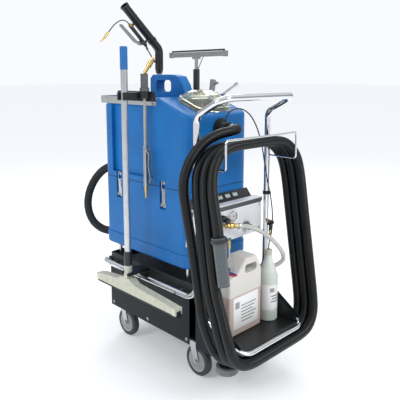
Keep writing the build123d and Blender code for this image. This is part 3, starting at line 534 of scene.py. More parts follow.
def ribbed_hose(name, route, sizes, material):
    """A hose with real ribs: one corrugation spun, repeated and bent along the route."""
    line = spline(name + "_line", route)
    points = path_of(line)
    length = run_length(points)
    ribs = round(length / sizes.rib)
    step = length / ribs
    crest = sizes.hose / 2
    valley = crest - sizes.groove
    bm = bmesh.new()
    profile = [(0.0, valley), (step * 0.3, crest), (step * 0.7, crest), (step, valley)]
    verts = [bm.verts.new((x, 0, radius)) for x, radius in profile]
    for first, second in zip(verts, verts[1:]):
        bm.edges.new((first, second))
    bmesh.ops.spin(bm, geom=bm.verts[:] + bm.edges[:], cent=(0, 0, 0), axis=(1, 0, 0),
                   angle=math.tau, steps=14, use_merge=True)
    bmesh.ops.remove_doubles(bm, verts=bm.verts, dist=1e-6)
    bmesh.ops.recalc_face_normals(bm, faces=bm.faces)
    piece = new_piece(name, bm, material)
    repeat = piece.modifiers.new("ribs", "ARRAY")
    repeat.count = ribs
    repeat.use_relative_offset = False
    repeat.use_constant_offset = True
    repeat.constant_offset_displace = (step, 0, 0)
    repeat.use_merge_vertices = True
    repeat.merge_threshold = step * 0.05
    bend = piece.modifiers.new("route", "CURVE")
    bend.object = line
    bend.deform_axis = "POS_X"
    bpy.context.view_layer.update()
    baked = bpy.data.meshes.new_from_object(piece.evaluated_get(bpy.context.evaluated_depsgraph_get()))
    piece.modifiers.clear()
    closed = bmesh.new()
    closed.from_mesh(baked)
    bmesh.ops.holes_fill(closed, edges=[edge for edge in closed.edges if edge.is_boundary], sides=0)
    bmesh.ops.recalc_face_normals(closed, faces=closed.faces)
    closed.to_mesh(baked)
    closed.free()
    baked.shade_smooth()
    piece.data = baked
    bpy.data.objects.remove(line)
    return piece, points


class CLEANER_OT_suction_hose(bpy.types.Operator):
    """Make the ribbed suction hose, from its port round the rack to its cuff"""
    bl_idname = "cleaner.suction_hose"
    bl_label = "Suction hose"

    def execute(self, context):
        sizes = context.scene.cleaner_sizes
        route = [Vector(point) for point in LEAD_ROUTE] + coil_turns(sizes.turns)
        rubber = hose_rubber(context.scene.cleaner_finishes.hose)
        piece, points = ribbed_hose("suction_hose", route, sizes, rubber)
        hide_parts("hose_lead", "hose_coil")
        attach(piece, "chassis")
        return {"FINISHED"}


class CLEANER_OT_rear_hose(bpy.types.Operator):
    """Make the short ribbed hose from the upper tank to the suction motor"""
    bl_idname = "cleaner.rear_hose"
    bl_label = "Rear hose"

    def execute(self, context):
        sizes = context.scene.cleaner_sizes
        route = [Vector(point) for point in REAR_ROUTE]
        rubber = bpy.data.materials["hose_black"]
        piece, points = ribbed_hose("rear_loop_hose", route, sizes, rubber)
        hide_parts("rear_hose")
        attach(piece, "chassis")
        return {"FINISHED"}


# Name, route, replaced node, slot, body, length, diameter, stiffness and far end of each thin tube.
THIN_TUBES = [
    ("outlet_tube", OUTLET_ROUTE, "outlet_hose", "clear_tube", "chassis",
     0.508, 0.018, "medium", "object"),
    ("dosing_line", DOSING_ROUTE, "dosing_tube", "clear_tube", "chassis",
     0.1035, 0.007, "medium", "object"),
    ("defoamer_line", DEFOAMER_ROUTE, "defoamer_tube", "hose_black", "chassis",
     0.73, 0.005, "medium", "object"),
    ("wand_hose_tail", PIGTAIL_ROUTE, "wand_pigtail", "hose_black", "wand",
     0.148, 0.005, "stiff", "connector"),
]


class CLEANER_OT_thin_tubes(bpy.types.Operator):
    """Make the outlet tube, the dosing lines and the wand's hose tail"""
    bl_idname = "cleaner.thin_tubes"
    bl_label = "Thin tubes"

    def execute(self, context):
        clear = braided_tube("clear_braid", (0.80, 0.79, 0.74))
        black = moulded("black_tube", context.scene.cleaner_finishes.trim, 0.35)
        for name, route, node, slot, body, length, across, stiffness, far_end in THIN_TUBES:
            piece = spline(name, route, across / 2)
            piece.data.materials.append(clear if slot == "clear_tube" else black)
            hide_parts(node)
            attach(piece, body)
        return {"FINISHED"}


# Small parts made here, each near the part of the frame that carries it.

def facing(place, axis):
    """The turn and move that carries +Z onto an axis at a place."""
    turn = Vector((0, 0, 1)).rotation_difference(Vector(axis)).to_matrix().to_4x4()
    return Matrix.Translation(Vector(place)) @ turn


def lathe(bm, profile, place, axis, steps=32):
    """Spins a (radius, height) outline about an axis; ends on the axis close it."""
    frame_at = facing(place, axis)
    verts = [bm.verts.new(frame_at @ Vector((radius, 0, height))) for radius, height in profile]
    edges = [bm.edges.new(pair) for pair in zip(verts, verts[1:])]
    bmesh.ops.spin(bm, geom=verts + edges, cent=place, axis=Vector(axis).normalized(),
                   angle=math.tau, steps=steps, use_merge=True)
    bmesh.ops.remove_doubles(bm, verts=bm.verts, dist=1e-6)


def block(bm, low, high, edge=0.0):
    """A box between two corners, with its edges rounded."""
    middle = (Vector(low) + Vector(high)) / 2
    reach = Vector(high) - Vector(low)
    place = Matrix.Translation(middle) @ Matrix.Diagonal((*reach, 1.0))
    made = bmesh.ops.create_cube(bm, size=1.0, matrix=place)["verts"]
    if edge:
        edges = list({e for v in made for e in v.link_edges})
        bmesh.ops.bevel(bm, geom=edges, offset=edge, offset_type="OFFSET", segments=3, profile=0.5,
                        affect="EDGES", material=-1)


# A screw's head and washer as (radius, height), in parts of its radius; the washer sinks in a little.
SCREW_OUTLINE = [(0, 0.62), (0.45, 0.56), (0.85, 0.34), (1, 0.12), (1.35, 0.12)]
SCREW_SINK = 0.0005


def add_screw(bm, place, axis, radius, slot_turn):
    """A domed screw head on a washer, with a raised cross that stands for its recess."""
    outline = [(radius * out, radius * up) for out, up in SCREW_OUTLINE]
    lathe(bm, outline + [(outline[-1][0], -SCREW_SINK), (0, -SCREW_SINK)], place, axis, 20)
    over = Vector(place) + Vector(axis).normalized() * radius * 0.60
    for turn in (slot_turn, slot_turn + math.pi / 2):
        cross = facing(over, axis) @ Matrix.Rotation(turn, 4, "Z") @ Matrix.Diagonal(
            (radius * 1.1, radius * 0.16, radius * 0.12, 1.0))
        bmesh.ops.create_cube(bm, size=1.0, matrix=cross)


def finish_piece(name, bm, material, body, smooth=True, angle=35):
    """Ends a rigid piece: sharp edges kept, riding on its body."""
    piece = new_piece(name, bm, material, smooth=False)
    if smooth:
        piece.data.shade_smooth()
        piece.data.set_sharp_from_angle(angle=math.radians(angle))
    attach(piece, body)
    return piece


# Where the screws sit: the base's sides (y, z), its cheeks (y, z) and its back (x, z), and the tool rail.
SIDE_SCREWS = [(y, z) for y in (-0.115, 0.13, 0.375) for z in (0.150, 0.337)]
CHEEK_SCREWS = [(-0.205, 0.318), (-0.35, 0.212)]
BACK_SCREWS = [(x, z) for x in (-0.15, 0, 0.15) for z in (0.155, 0.335)]
RAIL_SCREW_Y = (0.075, 0.41)
RAIL_SCREW_X = (-0.12, 0.02, 0.13)
RAIL_SCREW_Z = 1.084
RAIL_THICKNESS = 0.003
BOX_SCREW_INSET = 0.016
BOX_SCREW_TOP = 0.118
BOX_FACE = 0.003


class CLEANER_OT_screws(bpy.types.Operator):
    """Make the screws of the panels, the cheeks, the control box and the rail"""
    bl_idname = "cleaner.screws"
    bl_label = "Screws"

    def execute(self, context):
        radius = context.scene.cleaner_sizes.screw
        low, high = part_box("base_panels")
        bm = bmesh.new()
        for side, x in ((-1, low.x), (1, high.x)):
            for y, z in SIDE_SCREWS:
                add_screw(bm, (x, y, z), (side, 0, 0), radius, 0.3 + y)
            for y, z in CHEEK_SCREWS:
                add_screw(bm, (x, y, z), (side, 0, 0), radius, 0.7)
        for x, z in BACK_SCREWS:
            add_screw(bm, (x, high.y, z), (0, 1, 0), radius, x)
        zinc = brushed("screw_zinc", (0.35, 0.36, 0.37), 0.3)
        finish_piece("panel_screws", bm, zinc, "chassis")
        bm = bmesh.new()
        low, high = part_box("control_box")
        for x in (low.x + BOX_SCREW_INSET, high.x - BOX_SCREW_INSET):
            for z in (low.z + BOX_SCREW_INSET, low.z + BOX_SCREW_TOP):
                add_screw(bm, (x, low.y + BOX_FACE, z), (0, -1, 0), radius * 0.8, x * 9)
        low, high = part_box("recovery_tank")
        for y in RAIL_SCREW_Y:
            add_screw(bm, (low.x - RAIL_THICKNESS, y, RAIL_SCREW_Z), (-1, 0, 0), radius, y)
        for x in RAIL_SCREW_X:
            add_screw(bm, (x, high.y + RAIL_THICKNESS, RAIL_SCREW_Z), (0, 1, 0), radius, x)
        steel = brushed("screw_steel", (0.55, 0.56, 0.57), 0.24)
        finish_piece("bright_screws", bm, steel, "chassis")
        return {"FINISHED"}


# The gauge's outlines as (radius, height), in parts of its radius and of its depth.
GAUGE_CASE = [(0, 0), (0.97, 0), (0.97, 0.55), (1, 0.62), (1, 0.93), (0.97, 1), (0.90, 1), (0.87, 0.80),
              (0.87, 0.70), (0, 0.70)]
GAUGE_WINDOW = [(0, 0.965), (0.5, 0.95), (0.885, 0.90), (0.885, 0.86), (0, 0.90)]
DIAL_HEIGHT = 0.70
DIAL_THICKNESS = 0.0006
NEEDLE_HEIGHT = 0.80
NEEDLE_REACH = 0.42
DIAL_SWEEP = 2.35
DIAL_MARKS = 40


def dial_finish(x, z, radius):
    """The dial: pale, with short marks and an arc round most of a turn."""
    dial = Finish("gauge_dial", roughness=0.35)
    across, up = dial.axis("X") - x, dial.axis("Z") - z
    reach = (across * across + up * up).power(0.5)
    turn = dial.node("ShaderNodeMath", {"operation": "ARCTAN2"}, {0: across, 1: up})
    spoke = turn.sum("PINGPONG", turn, math.tau / DIAL_MARKS) < 0.022
    ring = (reach > radius * 0.60) * (reach < radius * 0.76)
    arc = (reach > radius * 0.77) * (reach < radius * 0.80)
    mark = (spoke * ring + arc) * (abs(turn) < DIAL_SWEEP)
    ground = dial.mix(dial.noise(200.0).clip(0.3, 0.9) * 0.1, (0.86, 0.87, 0.86), (0.7, 0.7, 0.68))
    dial.set(base_color=dial.mix(mark, ground, (0.02, 0.02, 0.02)))
    return dial.material


class CLEANER_OT_gauge(bpy.types.Operator):
    """Make the pressure gauge: case, marked dial, needle and domed window"""
    bl_idname = "cleaner.gauge"
    bl_label = "Pressure gauge"

    def execute(self, context):
        low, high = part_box("pressure_gauge")
        x, z, back = (low.x + high.x) / 2, (low.z + high.z) / 2, high.y
        radius = (high.x - low.x) / 2
        deep = high.y - low.y
        place, axis = (x, back, z), (0, -1, 0)
        bm = bmesh.new()
        lathe(bm, [(radius * out, deep * up) for out, up in GAUGE_CASE], place, axis, 48)
        case = finish_piece("gauge_case", bm, chromed("gauge_ring", rough=0.10), "chassis")
        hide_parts("pressure_gauge")
        bm = bmesh.new()
        rim = radius * 0.86
        lathe(bm, [(0, 0), (rim, 0), (rim, DIAL_THICKNESS), (0, DIAL_THICKNESS)],
              (x, back - deep * DIAL_HEIGHT, z), axis, 48)
        finish_piece("gauge_face", bm, dial_finish(x, z, radius), "chassis")
        bm = bmesh.new()
        hub = Vector((x, back - deep * NEEDLE_HEIGHT, z))
        tip = hub - Vector((1, 0, 1)) * radius * NEEDLE_REACH
        lathe(bm, [(0, -radius * 0.2), (0.0009, -radius * 0.2), (0.0004, radius * 0.62), (0, radius * 0.62)],
              hub, tip - hub, 8)
        lathe(bm, [(0, -0.001), (0.0022, -0.001), (0.0022, 0.001), (0, 0.0015)], hub, axis, 16)
        red = moulded("needle_red", (0.45, 0.03, 0.02), 0.3)
        finish_piece("gauge_needle", bm, red, "chassis")
        bm = bmesh.new()
        lathe(bm, [(radius * out, deep * up) for out, up in GAUGE_WINDOW], place, axis, 48)
        glass = Finish("gauge_window", transmission_weight=1.0, ior=1.45)
        glass.set(roughness=glass.noise(60.0, 4.0).clip(0.5, 0.9) * 0.06 + 0.01,
                  base_color=(0.95, 0.96, 0.95))
        finish_piece("gauge_window", bm, glass.material, "chassis")
        return {"FINISHED"}


def label_finish(name, ground, inks):
    """A plain printed label: a square mark, and dark bars that stand for lines of text."""
    finish = Finish(name, roughness=0.38, coat_weight=0.2)
    tone = finish.mix(finish.noise(120.0, 3.0).clip(0.4, 0.9) * 0.12, ground, shade(ground, 0.75))
    for low, high, ink in inks:
        tone = finish.mix(within(finish, "XZ", low, high), tone, ink)
    finish.set(base_color=tone)
    finish.set(normal=finish.bump(finish.noise(40.0, 2.0), 0.1, 0.001))
    return finish.material


LABEL_INK = (0.16, 0.16, 0.17)
LABEL_MARK = (0.30, 0.31, 0.33)
LABEL_PAPER = (0.88, 0.88, 0.87)
CANISTER_LABEL_EDGE = 0.022
CANISTER_LABEL_Z = (0.218, 0.345)
BOTTLE_LABEL_Z = (0.238, 0.344)
BOTTLE_LABEL_ARC = math.radians(200)


class CLEANER_OT_labels(bpy.types.Operator):
    """Make the plain labels of the canister and the bottle"""
    bl_idname = "cleaner.labels"
    bl_label = "Labels"

    def execute(self, context):
        low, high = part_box("canister")
        left, right = low.x + CANISTER_LABEL_EDGE, high.x - CANISTER_LABEL_EDGE
        foot, top = CANISTER_LABEL_Z
        bm = bmesh.new()
        block(bm, (left, low.y - 0.0008, foot), (right, low.y + 0.0002, top), 0.0003)
        inks = [((left + 0.010, 0.300), (left + 0.034, 0.326), LABEL_MARK)]
        for row in range(6):
            z = 0.304 - 0.013 * row
            inks.append(((left + 0.045, z), (right - 0.012 - 0.011 * (row % 3), z + 0.004), LABEL_INK))
        material = label_finish("canister_print", LABEL_PAPER, inks)
        finish_piece("canister_label", bm, material, "chassis")
        low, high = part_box("bottle")
        x, y = (low.x + high.x) / 2, (low.y + high.y) / 2
        inner = (high.x - low.x) / 2 - 0.0002
        outer = inner + 0.0008
        foot, top = BOTTLE_LABEL_Z
        bm = bmesh.new()
        outline = [(inner, foot), (outer, foot + 0.0005), (outer, top - 0.0005), (inner, top)]
        verts = [bm.verts.new((x - radius, y, height)) for radius, height in outline]
        edges = [bm.edges.new(pair) for pair in zip(verts, verts[1:] + verts[:1])]
        bmesh.ops.spin(bm, geom=verts + edges, cent=(x, y, 0), axis=(0, 0, 1), angle=BOTTLE_LABEL_ARC,
                       steps=30, use_merge=False)
        bmesh.ops.holes_fill(bm, edges=[edge for edge in bm.edges if edge.is_boundary], sides=0)
        inks = [((x - 0.026, 0.314), (x - 0.008, 0.332), LABEL_MARK)]
        for row in range(3):
            z, indent = 0.296 - 0.012 * row, row % 2
            start, end = x - 0.022 + 0.004 * indent, x + 0.024 - 0.006 * indent
            inks.append(((start, z), (end, z + 0.005), LABEL_INK))
        material = label_finish("bottle_print", LABEL_PAPER, inks)
        finish_piece("bottle_label", bm, material, "chassis")
        return {"FINISHED"}


def ring(inner, outer, low, high):
    """The closed outline of a plain ring."""
    return [(inner, low), (outer, low), (outer, high), (inner, high), (inner, low)]


def band_clip(bm, place, axis, radius, width):
    """A worm-drive clip: a thin band with its screw housing."""
    lathe(bm, ring(radius, radius + 0.0009, -width / 2, width / 2), place, axis, 28)
    seat = facing(place, axis) @ Matrix.Translation((radius + 0.0035, 0, 0))
    housing = Matrix.Diagonal((0.005, 0.012, width * 1.1, 1.0))
    bmesh.ops.create_cube(bm, size=1.0, matrix=seat @ housing)
    screw = Matrix.Translation((0.001, 0.009, 0)) @ Matrix.Rotation(math.pi / 2, 4, "X")
    bmesh.ops.create_cone(bm, cap_ends=True, segments=6, radius1=0.0032, radius2=0.0032, depth=0.006,
                          matrix=seat @ screw)


def clip_on(bm, route, away, radius, width):
    """A clip a short way along a hose from the start of its route."""
    start, then = Vector(route[0]), Vector(route[1])
    axis = (then - start).normalized()
    band_clip(bm, start + axis * away, axis, radius, width)


OUTLET_CLIP_RADIUS = 0.0093
CUFF_CLAMP_UP = 0.080


class CLEANER_OT_clips(bpy.types.Operator):
    """Make the worm-drive clips on the hose ends, and the clamp on the hose cuff"""
    bl_idname = "cleaner.clips"
    bl_label = "Hose clips"

    def execute(self, context):
        bm = bmesh.new()
        hose_radius = context.scene.cleaner_sizes.hose / 2 + 0.0005
        for route, away in ((LEAD_ROUTE, 0.028), (REAR_ROUTE, 0.018), (REAR_ROUTE[::-1], 0.014)):
            clip_on(bm, route, away, hose_radius, 0.011)
        for route in (OUTLET_ROUTE, OUTLET_ROUTE[::-1]):
            clip_on(bm, route, 0.012, OUTLET_CLIP_RADIUS, 0.008)
        steel = brushed("clip_steel", (0.58, 0.59, 0.6), 0.24)
        finish_piece("hose_clips", bm, steel, "chassis")
        low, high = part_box("hose_cuff")
        up_the_coil = coil_point(0, 1, 0) - coil_point(0, 0, 0)
        bm = bmesh.new()
        band_clip(bm, coil_point(-COIL_HALF_X, CUFF_CLAMP_UP, CUFF_OUT), up_the_coil,
                  (high.x - low.x) / 2 + 0.0003, 0.012)
        black = moulded("clamp_black", (0.02, 0.021, 0.023), 0.4)
        finish_piece("cuff_clamp", bm, black, "chassis")
        return {"FINISHED"}


FORK_FACE = 0.0197
WHEEL_FACE = 0.0132
NUT_RADIUS = 0.0078
NUT_DEPTH = 0.0042
WASHER = ring(0.0075, 0.0105, 0, 0.0009)
HUB_COVER = [(0.0155, 0), (0.0340, -0.0012), (0.0365, 0.0002), (0.0360, 0.0008), (0.0180, 0.0012),
             (0.0155, 0.0012), (0.0155, 0)]


class CLEANER_OT_castor_trim(bpy.types.Operator):
    """Make the axle nuts and hub covers of the castors"""
    bl_idname = "cleaner.castor_trim"
    bl_label = "Castor trim"

    def execute(self, context):
        steel = brushed("axle_nut", (0.5, 0.51, 0.52), 0.26)
        grey = moulded("hub_cap", (0.24, 0.25, 0.26), 0.4)
        for corner in CORNERS:
            centre = Vector(JOINTS["caster_roll_" + corner]["pos_m"])
            nuts, caps = bmesh.new(), bmesh.new()
            for side in (-1, 1):
                axis = Vector((side, 0, 0))
                leg = centre + axis * FORK_FACE
                bmesh.ops.create_cone(nuts, cap_ends=True, segments=6, radius1=NUT_RADIUS,
                                      radius2=NUT_RADIUS, depth=NUT_DEPTH,
                                      matrix=facing(leg + axis * 0.0022, axis))
                lathe(nuts, WASHER, leg, axis, 24)
                lathe(caps, HUB_COVER, centre + axis * WHEEL_FACE, axis, 40)
            finish_piece("axle_nuts_" + corner, nuts, steel, "fork_" + corner)
            finish_piece("hub_cap_" + corner, caps, grey, "wheel_" + corner)
        return {"FINISHED"}


def hexagon(bm, place, radius, deep):
    """A six-sided nut; the place also turns it."""
    bmesh.ops.create_cone(bm, cap_ends=True, segments=6, radius1=radius, radius2=radius, depth=deep,
                          matrix=place)


VALVE_HANDLE = [(0, 0), (0.0045, 0), (0.0045, 0.006), (0.0125, 0.0075), (0.0145, 0.010), (0.0145, 0.016),
                (0.0125, 0.0185), (0, 0.0195)]
VALVE_PLACE = (-0.055, -0.209, 0.618)
COUPLING_PLACE = (-0.0515, -0.2103, 0.6094)
COUPLING_AXIS = (46, -16, -6)
TAP_X = 0.2055
TAP_TAIL_Y = -0.222
COLLAR_PLACE = (0.0815, -0.1890, 0.5820)
COLLAR_AXIS = (12, -27.8, -12)
COLLAR_RADIUS = 0.0165
COLLAR_DEPTH = 0.012


class CLEANER_OT_tap_parts(bpy.types.Operator):
    """Make the valve's black handle, the nuts and the knurled collar on the box"""
    bl_idname = "cleaner.tap_parts"
    bl_label = "Tap parts"

    def execute(self, context):
        look = context.scene.cleaner_finishes
        bm = bmesh.new()
        lathe(bm, VALVE_HANDLE, VALVE_PLACE, (0, -0.25, 1), 24)
        black = moulded("handle_black", tuple(look.trim), 0.28)
        finish_piece("valve_handle", bm, black, "chassis")
        bm = bmesh.new()
        coupling = facing(COUPLING_PLACE, COUPLING_AXIS)
        hexagon(bm, coupling @ Matrix.Translation((0, 0, -0.004)), 0.0112, 0.006)
        hexagon(bm, coupling @ Matrix.Translation((0, 0, 0.026)), 0.0118, 0.007)
        hexagon(bm, facing((TAP_X, -0.2135, 0.575), (0, -1, 0)), 0.0108, 0.006)
        for z in (0.5385, 0.522):
            hexagon(bm, facing((TAP_X, TAP_TAIL_Y, z), (0, 0, 1)), 0.0074, 0.006)
        brass = brushed("nut_brass", tuple(look.brass), 0.22)
        finish_piece("hex_nuts", bm, brass, "chassis")
        bm = bmesh.new()
        middle = facing(COLLAR_PLACE, COLLAR_AXIS) @ Matrix.Translation((0, 0, COLLAR_DEPTH / 2))
        bmesh.ops.create_cone(bm, cap_ends=True, segments=28, radius1=COLLAR_RADIUS,
                              radius2=COLLAR_RADIUS, depth=COLLAR_DEPTH, matrix=middle)
        sides = [face for face in bm.faces if len(face.verts) == 4]
        bmesh.ops.inset_individual(bm, faces=sides, thickness=0.0006, depth=0.0009)
        grey = moulded("collar_grey", (0.16, 0.17, 0.18), 0.42)
        finish_piece("knurled_collar", bm, grey, "chassis")
        return {"FINISHED"}


POLE_Y = 0.139
RIB_STEP = 0.030
BEAM_HALF = 0.0165
BEAM_FOOT = 0.303
BEAM_TOP = 0.346
SOCKET_BAND = [(0.0168, 0), (0.0192, 0.001), (0.0192, 0.009), (0.0168, 0.010), (0.0168, 0)]


class CLEANER_OT_squeegee_ribs(bpy.types.Operator):
    """Make the stiffening ribs, the end caps and the socket band of the floor squeegee"""
    bl_idname = "cleaner.squeegee_ribs"
    bl_label = "Squeegee ribs"

    def execute(self, context):
        low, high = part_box("floor_squeegee_head")
        middle = (low.x + high.x) / 2
        bm = bmesh.new()
        for step in range(-9, 7):
            y = POLE_Y + RIB_STEP * step
            away = abs(y - POLE_Y)
            if away < 0.028 or not low.y + 0.03 < y < high.y - 0.03:
                continue
            top = BEAM_TOP - 0.016 * min(1.0, max(0.0, (away - 0.06) / 0.14)) - 0.003
            for side in (-1, 1):
                x = middle + side * BEAM_HALF
                block(bm, (x - 0.0016, y - 0.0013, BEAM_FOOT), (x + 0.0016, y + 0.0013, top), 0.0004)
        for y in (low.y + 0.012, high.y - 0.012):
            block(bm, (middle - 0.0186, y - 0.010, 0.300), (middle + 0.0186, y + 0.010, 0.3285), 0.002)
        lathe(bm, SOCKET_BAND, (middle, POLE_Y, 0.366), (0, 0, 1), 32)
        beige = moulded("rib_beige", tuple(context.scene.cleaner_finishes.squeegee), 0.42)
        finish_piece("squeegee_ribs", bm, beige, "floor_squeegee")
        return {"FINISHED"}


LOUVRE_OUTLINE = [(-0.001, 0.010), (0.0025, 0.0045), (0.0045, 0.0), (-0.001, 0.0)]
LOUVRE_LENGTH = 0.084
LOUVRE_STEP = 0.017
LOUVRE_FOOT = 0.185
LOUVRE_COLUMN = 0.085


class CLEANER_OT_rear_louvres(bpy.types.Operator):
    """Make the rows of cooling louvres on the rear panel"""
    bl_idname = "cleaner.rear_louvres"
    bl_label = "Rear louvres"

    def execute(self, context):
        low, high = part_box("base_panels")
        bm = bmesh.new()
        for column in (-1, 1):
            left = column * LOUVRE_COLUMN - LOUVRE_LENGTH / 2
            for row in range(7):
                z = LOUVRE_FOOT + LOUVRE_STEP * row
                verts = [bm.verts.new((left, high.y + out, z + up)) for out, up in LOUVRE_OUTLINE]
                face = bm.faces.new(verts)
                grown = bmesh.ops.extrude_face_region(bm, geom=[face])
                moved = [item for item in grown["geom"] if isinstance(item, bmesh.types.BMVert)]
                bmesh.ops.translate(bm, verts=moved, vec=(LOUVRE_LENGTH, 0, 0))
        coated = bpy.data.materials["coated_panel"]
        finish_piece("rear_louvres", bm, coated, "chassis", angle=20)
        return {"FINISHED"}


BAR_CLIPS = [(-0.2055, -0.197, 0.93), (0.2055, -0.197, 0.70), (0.2055, -0.197, 0.93)]
BAR_RADIUS = 0.0126
CLIP_RADIUS = BAR_RADIUS + 0.0025


class CLEANER_OT_bar_clip(bpy.types.Operator):
    """Make the small clips that hold the thin tubes to the posts"""
    bl_idname = "cleaner.bar_clip"
    bl_label = "Clips on the bars"

    def execute(self, context):
        bm = bmesh.new()
        ring = [(BAR_RADIUS, -0.008), (CLIP_RADIUS, -0.007), (CLIP_RADIUS, 0.007), (BAR_RADIUS, 0.008),
                (BAR_RADIUS, -0.008)]
        for x, y, z in BAR_CLIPS:
            lathe(bm, ring, (x, y, z), (0, 0, 1), 28)
            front = y - BAR_RADIUS
            block(bm, (x - 0.006, front - 0.009, z - 0.006), (x + 0.006, front - 0.001, z + 0.006), 0.0015)
        black = moulded("clip_black", tuple(context.scene.cleaner_finishes.trim), 0.35)
        finish_piece("bar_clips", bm, black, "chassis")
        return {"FINISHED"}


ROCKER_SLOPE = (0, -30, 24.8)
ROCKER_THICKNESS = 0.0042
MARK_AWAY = 0.0042
MARK_RING = ring(0.0013, 0.0021, 0, 0.0004)
MARK_DASH = (0.0007, 0.0042, 0.0006, 1.0)


class CLEANER_OT_rocker_marks(bpy.types.Operator):
    """Make the printed dash and ring on each rocker switch"""
    bl_idname = "cleaner.rocker_marks"
    bl_label = "Rocker marks"

    def execute(self, context):
        ink = moulded("rocker_ink", (0.02, 0.02, 0.02), 0.4)
        slope = Vector(ROCKER_SLOPE).normalized()
        along = Vector((-1, 0, 0)).cross(slope)
        for number in range(1, 5):
            top = Vector(JOINTS["rocker_tilt_%d" % number]["pos_m"]) + slope * ROCKER_THICKNESS
            bm = bmesh.new()
            lathe(bm, MARK_RING, top + along * MARK_AWAY, slope, 20)
            dash = facing(top - along * MARK_AWAY, slope) @ Matrix.Diagonal(MARK_DASH)
            bmesh.ops.create_cube(bm, size=1.0, matrix=dash)
            finish_piece("rocker_mark_%d" % number, bm, ink, "rocker_%d" % number)
        return {"FINISHED"}


# Finishes on the parts that come from the frame, and the stage.

def paint(material, *names):
    """Gives CAD parts their finish."""
    for name in names:
        slots = NODES[name].data.materials
        slots.clear()
        slots.append(material)


ZINC = (0.55, 0.56, 0.58)
TIP_BRASS = (0.66, 0.45, 0.16)
SOFT_BLACK = (0.02, 0.02, 0.022)
GUN_GREY = (0.22, 0.23, 0.24)


def paint_base(look):
    """The sheet base, its trays, the chrome tubes, the bumpers and the castors."""
    trim = tuple(look.trim)
    paint(coated_sheet("coated_panel", tuple(look.panel)), "base_panels")
    paint(moulded("black_moulding", trim, 0.42), "deck_tray", "hose_port", "tool_clips")
    paint(moulded("basin_moulding", shade(trim, 1.2), 0.38), "canister_basin")
    paint(chromed("chrome_tube"), "frame_left", "frame_right", "push_handle", "guard_bar", "hose_rack")
    cap = ((-0.19, -0.345, 0.1032), (0.19, -0.25, 0.12), (0.015, 0.015, 0.017), 0.4, 0.0)
    paint(fitting_patch("bumper_rubber", ((0.17, 0.18, 0.19), 0.55, 0.0), [cap]),
          "bumper_roller_left", "bumper_roller_right")
    for corner in CORNERS:
        paint(brushed("castor_zinc_" + corner, ZINC, 0.26), "caster_fork_" + corner)
        centre = JOINTS["caster_roll_" + corner]["pos_m"]
        paint(castor_wheel_finish("castor_wheel_" + corner, centre), "caster_wheel_" + corner)


def paint_tanks(look):
    """Both tanks with their seals, lid, latches and steel fittings."""
    steel = tuple(look.steel)
    paint(rotomoulded_blue(tuple(look.tank_blue)), "solution_tank", "recovery_tank")
    paint(moulded("gasket", (0.008, 0.008, 0.009), 0.6), "tank_seals")
    paint(clear_polycarbonate(), "tank_lid")
    paint(brushed("stainless_strip", steel, 0.28, (30.0, 1.0, 1.0)), "steel_fittings")
    paint(brushed("latch_steel", steel, 0.22), *["tank_latch_" + corner for corner in CORNERS])
    paint(moulded("motor_paint", (0.04, 0.045, 0.05), 0.4), "motor_and_pump")


def paint_box(look):
    """The control box with its switches, gauge and fittings, and the two containers."""
    lip = ((-0.25, -0.23, 0.6605), (0.25, -0.10, 0.6800), (0.075, 0.082, 0.09), 0.38, 0.0)
    paint(fitting_patch("box_coat", (tuple(look.box), 0.3, 0.0), [lip], soil=0.05), "control_box")
    paint(moulded("switch_strip", (0.012, 0.014, 0.016), 0.35), "switch_panel", "regulator_knob")
    paint(moulded("tap_black", tuple(look.trim), 0.3), "tap_lever")
    paint(moulded("rocker_moulding", (0.42, 0.50, 0.48), 0.22, coat=0.4),
          *["rocker_switch_%d" % number for number in range(1, 5)])
    paint(fitting_patch("turned_brass", (tuple(look.brass), 0.24, 1.0), [
        ((0.06, -0.25, 0.55), (0.12, -0.15, 0.62), (0.20, 0.21, 0.22), 0.4, 0.0),
        ((0.18, -0.25, 0.538), (0.23, -0.19, 0.60), SOFT_BLACK, 0.35, 0.0),
        ((0.05, -0.25, 0.32), (0.12, -0.15, 0.37), SOFT_BLACK, 0.4, 0.0)]), "brass_fittings")
    paint(chromed("gauge_chrome", rough=0.12), "pressure_gauge")
    paint(milky("canister_plastic", tuple(look.canister), tuple(look.liquid), 0.352,
                (0.012, 0.07, 0.33), 0.4362, -0.075), "canister")
    paint(milky("bottle_plastic", (0.80, 0.83, 0.78), (0.70, 0.76, 0.70), 0.395,
                (0.62, 0.60, 0.50), 0.4622), "bottle")


def paint_squeegees(look):
    """Both squeegees; the floor squeegee's rubber shows below its beam and at its near end."""
    rubber = (0.012, 0.012, 0.013)
    paint(banded("pole_finish", [(0.0, SOFT_BLACK, 0.4, 0.0), (0.474, (0.60, 0.62, 0.64), 0.3, 0.9),
                                 (1.2101, tuple(look.tank_blue), 0.38, 0.0)]), "floor_squeegee_pole")
    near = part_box("floor_squeegee_head")[0].y
    paint(fitting_patch("squeegee_moulding", (tuple(look.squeegee), 0.42, 0.0), [
        ((-0.2840, -0.20, 0.28), (-0.2620, 0.36, 0.30195), rubber, 0.5, 0.0),
        ((-0.2840, near - 0.01, 0.28), (-0.2620, near + 0.0015, 0.316), rubber, 0.5, 0.0)]),
          "floor_squeegee_head")
    paint(banded("hand_squeegee", [(0.0, SOFT_BLACK, 0.5, 0.0), (1.2172, (0.58, 0.59, 0.6), 0.25, 1.0),
                                   (1.2962, SOFT_BLACK, 0.5, 0.0)]), "window_squeegee")


